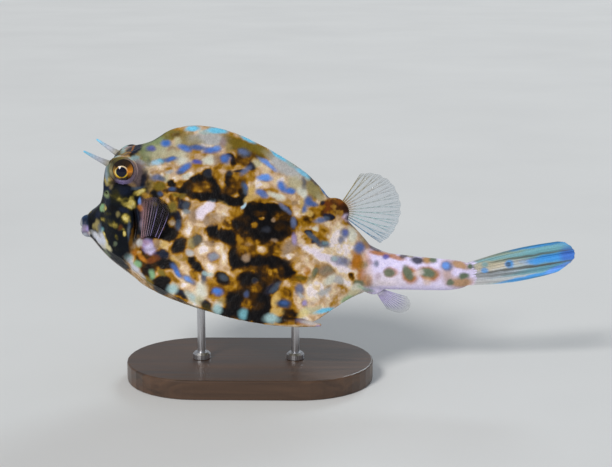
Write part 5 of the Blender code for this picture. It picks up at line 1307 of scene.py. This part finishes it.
def tinted(tree, colour, amount):
    """A colour made lighter or darker by a number."""
    return add_node(tree, "ShaderNodeVectorMath", {0: colour, "Scale": amount}, operation="SCALE").outputs[0]


def bumped(tree, height, distance, strength, normal=None):
    """A bump from a height, distance in metres."""
    inputs = {"Height": height, "Distance": distance, "Strength": strength}
    if normal is not None:
        inputs["Normal"] = normal
    return add_node(tree, "ShaderNodeBump", inputs).outputs["Normal"]


def painted(tree):
    """The colours stored by set_paint."""
    return add_node(tree, "ShaderNodeAttribute", attribute_name="paint").outputs["Color"]


def skin_material():
    """Wet skin: the painted colours with fine grain, granules on the plates and a thin coat of slime."""
    made, tree, shader = new_material("skin")
    grain = ranged(tree, noise_value(tree, 1300, 5.0), 0.86, 1.14)
    granules = bumped(tree, cell_distance(tree, 720), 0.00025, 0.35)
    feed(tree, shader, {
        "Base Color": tinted(tree, painted(tree), grain),
        "Roughness": ranged(tree, noise_value(tree, 420), 0.34, 0.52),
        "Normal": bumped(tree, noise_value(tree, 2600, 3.0), 0.00012, 0.4, granules),
        "Specular IOR Level": 0.10,
        "Coat Weight": 0.03,
        "Coat Roughness": 0.25,
    })
    return made


# A fin's rays as the points they run between and the way each faces, with how far they bow out,
# spread apart and ripple
Fin = namedtuple("Fin", "roots tips facing bow spread ripple", defaults=(0.0, 0.0))


def fan(lobe, angles, reaches, bow):
    """A fin whose rays fan out from a lobe in the plane of symmetry, angles in degrees."""
    turns = np.radians(angles)
    ways = np.stack([np.cos(turns), np.zeros(len(turns)), np.sin(turns)], axis=1)
    middle = np.array(lobe.centre)
    facing = np.tile([0.0, -1.0, 0.0], (len(turns), 1))
    return Fin(middle + ways * 4.0, middle + ways * np.array(reaches)[:, None], facing, bow)


def pectoral(side):
    """The fin that stands up from the side, leaning out."""
    count = 11
    share = np.linspace(0, 1, count)
    base = np.array(pectoral_lobe(side).centre)
    roots = base + np.stack([-5.0 + 9.4 * share, side * (0.6 - 1.0 * share), 2.2 - 0.8 * share], axis=1)
    reach = 26.5 + 2.5 * np.sin(math.pi * share) - 5.0 * share**2
    lean = np.radians(90 - (8 + 16 * share))
    ways = np.stack([np.cos(lean), side * (0.34 - 0.10 * share), np.sin(lean)], axis=1)
    facing = np.tile([0.25, side * 0.94, -0.24], (count, 1))
    return Fin(roots, roots + ways * reach[:, None], facing, 1.0)


def fin_points(fin, s, t):
    """Points of a fin in millimetres, at places s across its rays and t along them, each from 0 to 1."""
    s, t = np.broadcast_arrays(np.asarray(s, float), np.asarray(t, float))
    shape = s.shape
    s, t = s.ravel(), t.ravel()
    rays = np.linspace(0, 1, len(fin.roots))

    def across(values):
        return np.stack([smooth_curve(rays, values[:, n], s) for n in range(3)], axis=1)

    root, tip, facing = across(fin.roots), across(fin.tips), across(fin.facing)
    middle = np.sin(math.pi * t)[:, None]
    points = root + (tip - root) * t[:, None] + facing * fin.bow * middle
    points[:, 2] += fin.spread * (1 - 2 * s) * middle[:, 0]
    points += facing * fin.ripple * (np.sin(s * 23) * t**2)[:, None]
    return points.reshape(*shape, 3), facing.reshape(*shape, 3)


def ray_lines(count, forks_twice=True, thick=1.0):
    """Lines along the rays of a fin: each ray forks once, and each fork once more if it forks twice."""
    gap = 1 / (count - 1)
    # Where each part starts and ends along the ray, the sides its forks lie on, and their radii
    spans = (
        (0.0, 0.44, (0,), (0.46, 0.32)),
        (0.42, 0.74, (-1, 1), (0.29, 0.2)),
        (0.72, 0.985, (-3, -1, 1, 3), (0.2, 0.09)),
    )
    if not forks_twice:
        spans = (spans[0], (0.42, 0.985, (-1, 1), (0.29, 0.09)))
    for ray in np.linspace(0, 1, count):
        for start, end, forks, radii in spans:
            t = np.linspace(start, end, 14)
            for fork in forks:
                apart = 0.25 * step_up(0.40, 1.0, t)
                if len(forks) == 4:
                    apart = apart + 0.115 * step_up(0.70, 1.0, t) * (abs(fork) - 2)
                s = np.clip(ray + gap * apart * np.sign(fork), 0, 1)
                yield s, t, np.linspace(*radii, 14) * thick


def tubes_piece(name, lines, sides):
    """Joined tubes, each from points, facings and radii in millimetres, with pointed ends."""
    points, faces = [], []
    turns = round_turn(sides)
    for middle, facing, radii in lines:
        first = len(points)
        way = np.gradient(middle, axis=0)
        way /= np.linalg.norm(way, axis=1, keepdims=True)
        side = np.cross(way, facing)
        side /= np.linalg.norm(side, axis=1, keepdims=True)
        over = np.cross(side, way)
        for centre, a, b, r in zip(middle, side, over, radii):
            points += [(centre + (a * math.cos(q) + b * math.sin(q)) * r) * MM for q in turns]
        faces += [tuple(first + n for n in face) for face in grid_faces(len(middle), sides, closed=True)]
        last = first + (len(middle) - 1) * sides
        points.append((middle[0] - way[0] * radii[0] * 0.6) * MM)
        points.append((middle[-1] + way[-1] * radii[-1]) * MM)
        for n in range(sides):
            m = (n + 1) % sides
            faces.append((first + m, first + n, len(points) - 2))
            faces.append((last + n, last + m, len(points) - 1))
    return mesh_piece(name, points, faces)


def sheet_piece(name, fronts, backs):
    """A thin closed sheet between two grids of points in metres."""
    rows, columns = fronts.shape[:2]
    count = rows * columns
    faces = grid_faces(rows, columns)
    faces += [tuple(count + n for n in reversed(face)) for face in grid_faces(rows, columns)]
    rim = list(range(columns))
    rim += [r * columns + columns - 1 for r in range(1, rows)]
    rim += [(rows - 1) * columns + c for c in range(columns - 2, -1, -1)]
    rim += [r * columns for r in range(rows - 2, 0, -1)]
    for a, b in zip(rim, rim[1:] + rim[:1]):
        faces.append((a, b, count + b, count + a))
    return mesh_piece(name, [*fronts.reshape(-1, 3), *backs.reshape(-1, 3)], faces)


def fin_material(name, alpha):
    """Fin skin in its painted colours, finely grained. The web between the rays is partly clear."""
    made, tree, shader = new_material(name)
    grain = ranged(tree, noise_value(tree, 1600, 5.0), 0.84, 1.16)
    feed(tree, shader, {
        "Base Color": tinted(tree, painted(tree), grain),
        "Normal": bumped(tree, noise_value(tree, 2200), 0.00015, 0.5),
        "Alpha": alpha,
        "Roughness": 0.36,
        "Specular IOR Level": 0.3,
        "Coat Weight": 0.15,
    })
    return made


def fin_pieces(word, node, fin, count, forks_twice, thick, alpha, ray_paint, web_paint):
    """A fin as two pieces: its forked rays, and the thin web between them. The paints take s and t."""
    lines, places = [], []
    sides = 6
    for s, t, radii in ray_lines(count, forks_twice, thick):
        middle, facing = fin_points(fin, s, t)
        lines.append((middle, facing, radii))
        # Each ring of a tube has one place, and so have its two ends
        places.append([np.append(np.repeat(at, sides), at[[0, -1]]) for at in (s, t)])
    rays = tubes_piece(f"{word}_rays", lines, sides)
    set_paint(rays.data, ray_paint(*np.concatenate(places, axis=1)))
    rays.data.materials.append(fin_material(f"{word}_rays", 1.0))
    dress(rays, "fin_membrane", node)
    s = np.linspace(0, 1, (count - 1) * 8 + 1)
    between = np.sin(math.pi * s * (count - 1)) ** 2
    t = np.linspace(0, 1, 34)[:, None] * (1 - 0.022 * between)[None, :]
    s = np.broadcast_to(s, t.shape)
    middle, facing = fin_points(fin, s, t)
    sag = (0.16 * between * np.minimum(1, 3 * t))[..., None]
    web = sheet_piece(
        f"{word}_web", (middle + facing * (sag + WEB_HALF)) * MM, (middle + facing * (sag - WEB_HALF)) * MM
    )
    set_paint(web.data, web_paint(np.tile(s.ravel(), 2), np.tile(t.ravel(), 2)))
    web.data.materials.append(fin_material(f"{word}_web", alpha))
    dress(web, "fin_membrane", node)


def shaded(stops, at):
    """Inks blended along a scale: stops are (place, ink)."""
    places = [start for start, _ in stops]
    inks = np.array([ink(name) for _, name in stops])
    return np.stack([np.interp(at, places, inks[:, n]) for n in range(3)], axis=1)


def dorsal_rays(s, t):
    """Pale rays with a golden foot, crossed by faint bands."""
    tips = shaded(((0.0, "khaki"), (0.35, "pearl"), (0.8, "ice"), (1.0, "mist")), s)
    bands = 1 + 0.16 * np.sin(t * 60 + s * 9)[:, None]
    return blend(tips, ink("gold"), 0.8 * (1 - step_up(0.02, 0.30, t))) * bands


def dorsal_web(s, t):
    return blend(shaded(((0.0, "haze"), (1.0, "mist")), s), ink("orange"), 1 - step_up(0.0, 0.25, t))


def anal_rays(s, t):
    return shaded(((0.0, "pearl"), (0.4, "wisteria"), (1.0, "haze")), t)


def anal_web(s, t):
    return shaded(((0.0, "wisteria"), (0.5, "wisteria"), (1.0, "pearl")), t)


def pectoral_rays(s, t):
    """Pinkish leading rays, then dark rays of which a few glint lilac."""
    colours = shaded(((0.0, "rose"), (0.16, "rose"), (0.34, "heather"), (0.46, "plum"), (1.0, "plum")), s)
    glint = step_up(0.2, 0.9, np.sin(s * 26 + t * 1.5)) * step_up(0.3, 0.45, s) * (1 - step_up(0.6, 0.95, t))
    return blend(colours, ink("wisteria"), 0.75 * glint)


def pectoral_web(s, t):
    return shaded(((0.0, "umber"), (0.15, "plum"), (0.5, "abyss"), (1.0, "soot")), s)


def small_fins():
    """The dorsal, anal and pectoral fins."""
    dorsal_reach = (27, 31.5, 35, 37.5, 38.5, 39, 38.5, 37.5, 36, 33.5)
    anal_reach = (22, 24.5, 26, 26.5, 26.5, 25.5, 24, 22, 19.5, 17)
    dorsal = fan(DORSAL_LOBE, np.linspace(58, -37, 10), dorsal_reach, 1.2)
    anal = fan(ANAL_LOBE, np.linspace(-17, -58, 10), anal_reach, 1.0)
    fin_pieces("dorsal", "dorsal_fin", dorsal, 12, True, 0.95, 0.16, dorsal_rays, dorsal_web)
    fin_pieces("anal", "anal_fin", anal, 11, False, 0.7, 0.16, anal_rays, anal_web)
    for side, word in ((-1, "left"), (1, "right")):
        fin_pieces(
            f"pectoral_{word}", f"pectoral_fin_{word}", pectoral(side), 11, True, 0.62, 0.22,
            pectoral_rays, pectoral_web,
        )


def tail_fin():
    """The half-closed tail fin: three folds with forked rays raised on an opaque web."""
    count = 10
    share = np.linspace(0, 1, count)
    tip_knots = np.linspace(0, 1, 7)
    tip_x = smooth_curve(tip_knots, [139.5, 145.6, 149.4, 150.0, 147.6, 142.6, 133.5], share)
    tip_z = smooth_curve(tip_knots, [87.0, 85.6, 81.6, 78.4, 74.0, 69.8, 66.0], share)
    roots = np.stack([np.full(count, STALK_SIZES[-1][0] - 2.0), np.zeros(count), 72.6 - 13.0 * share], axis=1)
    tips = np.stack([tip_x, np.sin(share * 6 * math.pi) * 1.3, tip_z], axis=1)
    fin = Fin(roots, tips, np.tile([0.0, -1.0, 0.0], (count, 1)), 0.0, 1.9)
    s = np.linspace(0, 1, 241)
    t = np.linspace(0, 1, 130)[:, None]
    waves = math.pi * s * (count - 1)
    edge = 1 - 0.005 * np.sin(waves) ** 2 - 0.004 * np.sin(waves * 4) ** 2
    middle, facing = fin_points(fin, s[None, :], t * edge[None, :])
    ridge = np.zeros((len(t), len(s)))
    for line, along, radii in ray_lines(count):
        reach = np.interp(t[:, 0], along, radii, left=0, right=0)
        at = np.interp(t[:, 0], along, line)
        away = np.abs(s[None, :] - at[:, None]) * 22 * (1 + 0.4 * t)
        ridge = np.maximum(ridge, reach[:, None] * np.exp(-(away / 0.28) ** 2))
    root = 0.9 * np.clip(1 - t * 3.5, 0, 1) ** 2
    half = (WEB_HALF + 0.10 + 0.8 * ridge + root)[..., None]
    web = sheet_piece("tail_fin_web", (middle + facing * half) * MM, (middle - facing * half) * MM)
    points = read_points(web.data)
    u, v = photo_place(points * np.array([1, 0, 1]))
    p = points / MM
    flow = np.tile(np.stack(np.broadcast_arrays(s * 46, t * 2.2, 0 * t), axis=-1).reshape(-1, 3), (2, 1))
    set_paint(web.data, tail_colours(p, u, v, flow))
    web.data.materials.append(fin_material("tail_fin", 1.0))
    dress(web, "tail_fin", "tail_fin")


def tail_colours(p, u, v, flow):
    """The tail fin's colours, streaked along its rays. Its root is marked as the stalk is."""
    along = np.clip((p[:, 0] - STALK_SIZES[-1][0]) / 62, 0, 1)
    colours = shaded(((0.1, "pearl"), (0.6, "teal"), (0.7, "teal"), (1.0, "azure")), along)
    wobble = 0.25 * rough_noise(p, 3.0, 141)
    lay(colours, TAIL_MARKS, u + 0.8 * noise(p, 5, 151), v + 0.5 * noise(p, 5, 152), wobble)
    scales = 1 - step_up(*TAIL_SCALES_END, p[:, 0] + 1.6 * noise(flow, 2.5, 171))
    colours = blend(colours, stalk_colours(p, u, v), scales)
    streaks = 1 + 0.16 * noise(flow, 1.0, 161) + 0.08 * noise(flow, 0.45, 162)
    return colours * streaks[:, None]


def horns():
    """The brow horns, with rounded tips."""
    made, tree, shader = new_material("horn")
    feed(tree, shader, {
        "Base Color": tinted(tree, painted(tree), ranged(tree, noise_value(tree, 900), 0.85, 1.15)),
        "Normal": bumped(tree, noise_value(tree, 1800), 0.0002, 0.5),
        "Roughness": 0.5,
        "Specular IOR Level": 0.2,
    })
    for side, word in ((-1, "left"), (1, "right")):
        root, tip = mirrored(HORN_ROOT, side), mirrored(HORN_TIP, side)
        rings = horn_rings(root, tip, HORN_RADII, HORN_RISE, turns=28, steps=48)
        way = (place(tip) - place(root)).normalized()
        rim = rings[-1]
        end = sum(rim, Vector()) / len(rim)
        radius = (rim[0] - end).length
        for share in (0.5, 0.8, 0.97):
            small = math.sqrt(1 - share**2)
            rings.append([end + (p - end) * small + way * radius * share for p in rim])
        horn = rings_piece(f"horn_{word}_cone", rings)
        p = read_points(horn.data) / MM
        reach = np.clip(((p - np.array(root)) @ np.array(way)) / (place(tip) - place(root)).length * MM, 0, 1)
        colours = blend(ink("khaki"), ink("chin"), step_up(0.1, 0.6, reach))
        colours = blend(colours, ink("cyan"), step_up(0.55, 1.1, reach))
        set_paint(horn.data, colours * (1 + 0.15 * rough_noise(p, 2.0, 171))[:, None])
        horn.data.materials.append(made)
        dress(horn, "horn", f"horn_{word}")


def eyes():
    """The eyes, with a cornea that bulges over the pupil."""
    made, tree, shader = new_material("eye")
    feed(tree, shader, {
        "Base Color": painted(tree),
        "Roughness": 0.14,
        "Specular IOR Level": 0.25,
        "Coat Weight": 0.25,
        "Coat Roughness": 0.03,
    })
    for side, word in ((-1, "left"), (1, "right")):
        centre = mirrored(EYE_CENTRE, side)
        look = Vector(mirrored(EYE_LOOK, side)).normalized()
        turn = look.to_track_quat("Z", "Y").to_matrix().to_4x4()
        eye = ball_form(f"eye_{word}_ball", centre, (EYE_RADIUS,) * 3, turn, 128, 180)
        points = read_points(eye.data) / MM - np.array(centre)
        towards = points @ np.array(look)
        off = points - towards[:, None] * np.array(look)
        radius = np.linalg.norm(off * np.array([0.93, 1, 1]), axis=1)
        cornea = 0.55 * np.exp(-(radius / 3.6) ** 2) * (towards > 0)
        bulged = points + np.array(look) * cornea[:, None] + np.array(centre)
        write_points(eye.data, bulged * MM)
        set_paint(eye.data, eye_colours(points, off, radius, towards))
        eye.data.materials.append(made)
        dress(eye, "eye", f"eye_{word}")


def eye_colours(points, off, radius, towards):
    """Rings round a navy pupil: a thin gold one, an iris that is wider above and behind, and the ball."""
    grain = rough_noise(points, 0.8, 181)
    angle = np.arctan2(off[:, 2], off[:, 0])
    streak = noise(np.stack([angle * 6, radius * 0.6, np.zeros_like(angle)], axis=1), 1.0, 191)
    round_it = (angle / math.pi) % 2
    outer = np.linalg.norm(off - np.array([0.75, 0, 0.95]), axis=1)

    def ringed(*names):
        """Inks round the eye, from the rear by the top and the front to the belly side."""
        return shaded([(n * 2 / len(names), name) for n, name in enumerate([*names, names[0]])], round_it)

    ball = ringed("mauve", "mauve", "olive", "moss", "khaki", "umber", "wisteria", "heather")
    lines = 0.5 + 0.5 * np.sin(outer * 5.5 + 1.6 * noise(points, 3, 201))
    ball = ball * (0.82 + 0.16 * lines + 0.22 * grain)[:, None]
    # The soot at the iris's top is painted shade under the brow
    iris = ringed("amber", "umber", "soot", "soot", "ochre", "gold", "soot", "umber")
    iris = iris * (1.0 + 0.3 * streak + 0.12 * grain)[:, None]
    # The cream at the top of the ring is a painted highlight
    ring = ringed("amber", "cream", "cream", "gold", "straw", "lemon", "gold", "lemon")
    pupil = ink("abyss") * np.array([0.3, 0.3, 1.9])
    colours = ball
    # From the outside in: each limit in millimetres and what lies within it
    for limit, inner, reach in (
        (6.2, ink("soot"), outer), (5.7, iris, outer), (3.62, ring, radius), (2.98, pupil, radius),
    ):
        inside = 1 - step_up(limit - 0.14, limit + 0.14, reach + 0.10 * grain + 0.08 * streak)
        colours = blend(colours, inner, inside)
    return np.where((towards > 0)[:, None], colours, ink("mauve"))


def drawn_out(tree, scale, **inputs):
    """Noise drawn out along one axis, scale in lumps per metre along each."""
    space = add_node(tree, "ShaderNodeMapping", {"Vector": object_space(tree), "Scale": scale}).outputs[0]
    return add_node(tree, "ShaderNodeTexNoise", {"Vector": space, "Scale": 1.0, **inputs}).outputs["Fac"]


def between(tree, value, dark, light):
    """A colour between two, by a value from 0.3 to 0.7."""
    inputs = {0: ranged(tree, value, 0, 1), 6: (*dark, 1), 7: (*light, 1)}
    return add_node(tree, "ShaderNodeMix", inputs, data_type="RGBA").outputs[2]


def stand_materials():
    """Dark wood for the stand's base and brushed steel for its rods."""
    wood, tree, shader = new_material("dark_wood")
    grain = drawn_out(tree, (9.0, 110.0, 110.0), Detail=8.0, Distortion=1.2)
    feed(tree, shader, {
        "Base Color": between(tree, grain, (0.030, 0.015, 0.008), (0.110, 0.055, 0.028)),
        "Roughness": ranged(tree, grain, 0.30, 0.46),
        "Normal": bumped(tree, grain, 0.0002, 0.4),
        "Coat Weight": 0.15,
    })
    steel, tree, shader = new_material("brushed_steel")
    brushed = drawn_out(tree, (3000.0, 3000.0, 60.0), Detail=3.0)
    feed(tree, shader, {
        "Base Color": between(tree, brushed, (0.50, 0.50, 0.52), (0.66, 0.66, 0.68)),
        "Roughness": ranged(tree, brushed, 0.24, 0.40),
        "Metallic": 1.0,
    })
    for node, look in (("stand_base", wood), ("stand_rod_front", steel), ("stand_rod_rear", steel)):
        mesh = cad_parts[node].data
        mesh.materials.clear()
        mesh.materials.append(look)


def floor():
    mesh = bpy.data.meshes.new("floor")
    shape = bmesh.new()
    bmesh.ops.create_circle(shape, cap_ends=True, segments=96, radius=FLOOR_RADIUS)
    shape.to_mesh(mesh)
    shape.free()
    made, tree, shader = new_material("floor")
    soft = ranged(tree, noise_value(tree, 3.0), 0.97, 1.03)
    feed(tree, shader, {"Base Color": tinted(tree, (0.72, 0.72, 0.71), soft), "Roughness": 0.85})
    mesh.materials.append(made)
    placed("floor", mesh)


def studio():
    """A pale floor, a pale room, a soft key lamp above the camera's left and a cool rim lamp behind."""
    floor()
    world = bpy.data.worlds.new("studio")
    bpy.context.scene.world = world
    world.use_nodes = True
    background = next(n for n in world.node_tree.nodes if n.type == "BACKGROUND")
    background.inputs["Color"].default_value = (0.90, 0.94, 1.0, 1)
    background.inputs["Strength"].default_value = 0.36
    sun("key", (-0.62, -1.0, 1.0), 2.1, (1.0, 0.985, 0.96), 16)
    sun("rim", (0.35, 1.0, 0.75), 0.7, (0.80, 0.92, 1.0), 20)
    bpy.context.scene.view_settings.view_transform = "Standard"


def sun(name, start, power, colour, spread):
    """A sun lamp that shines from a place towards the fish, softened by a spread in degrees."""
    data = bpy.data.lights.new(name, "SUN")
    data.energy = power
    data.color = colour
    data.angle = math.radians(spread)
    obj = placed(name, data)
    obj.location = start
    obj.rotation_euler = (Vector(TARGET) - Vector(start)).to_track_quat("-Z", "Y").to_euler()


def camera():
    back = Vector(camera_way())
    data = bpy.data.cameras.new("camera")
    data.sensor_width = SENSOR
    data.lens = SENSOR * FOCAL_PIXELS / IMAGE_WIDTH
    data.clip_start = 0.01
    eye = placed("camera", data)
    eye.location = Vector(TARGET) + back * DISTANCE
    eye.rotation_euler = (-back).to_track_quat("-Z", "Y").to_euler()
    bpy.context.scene.camera = eye


camera()
sculpted_skin()
eyes()
horns()
small_fins()
tail_fin()
stand_materials()
studio()
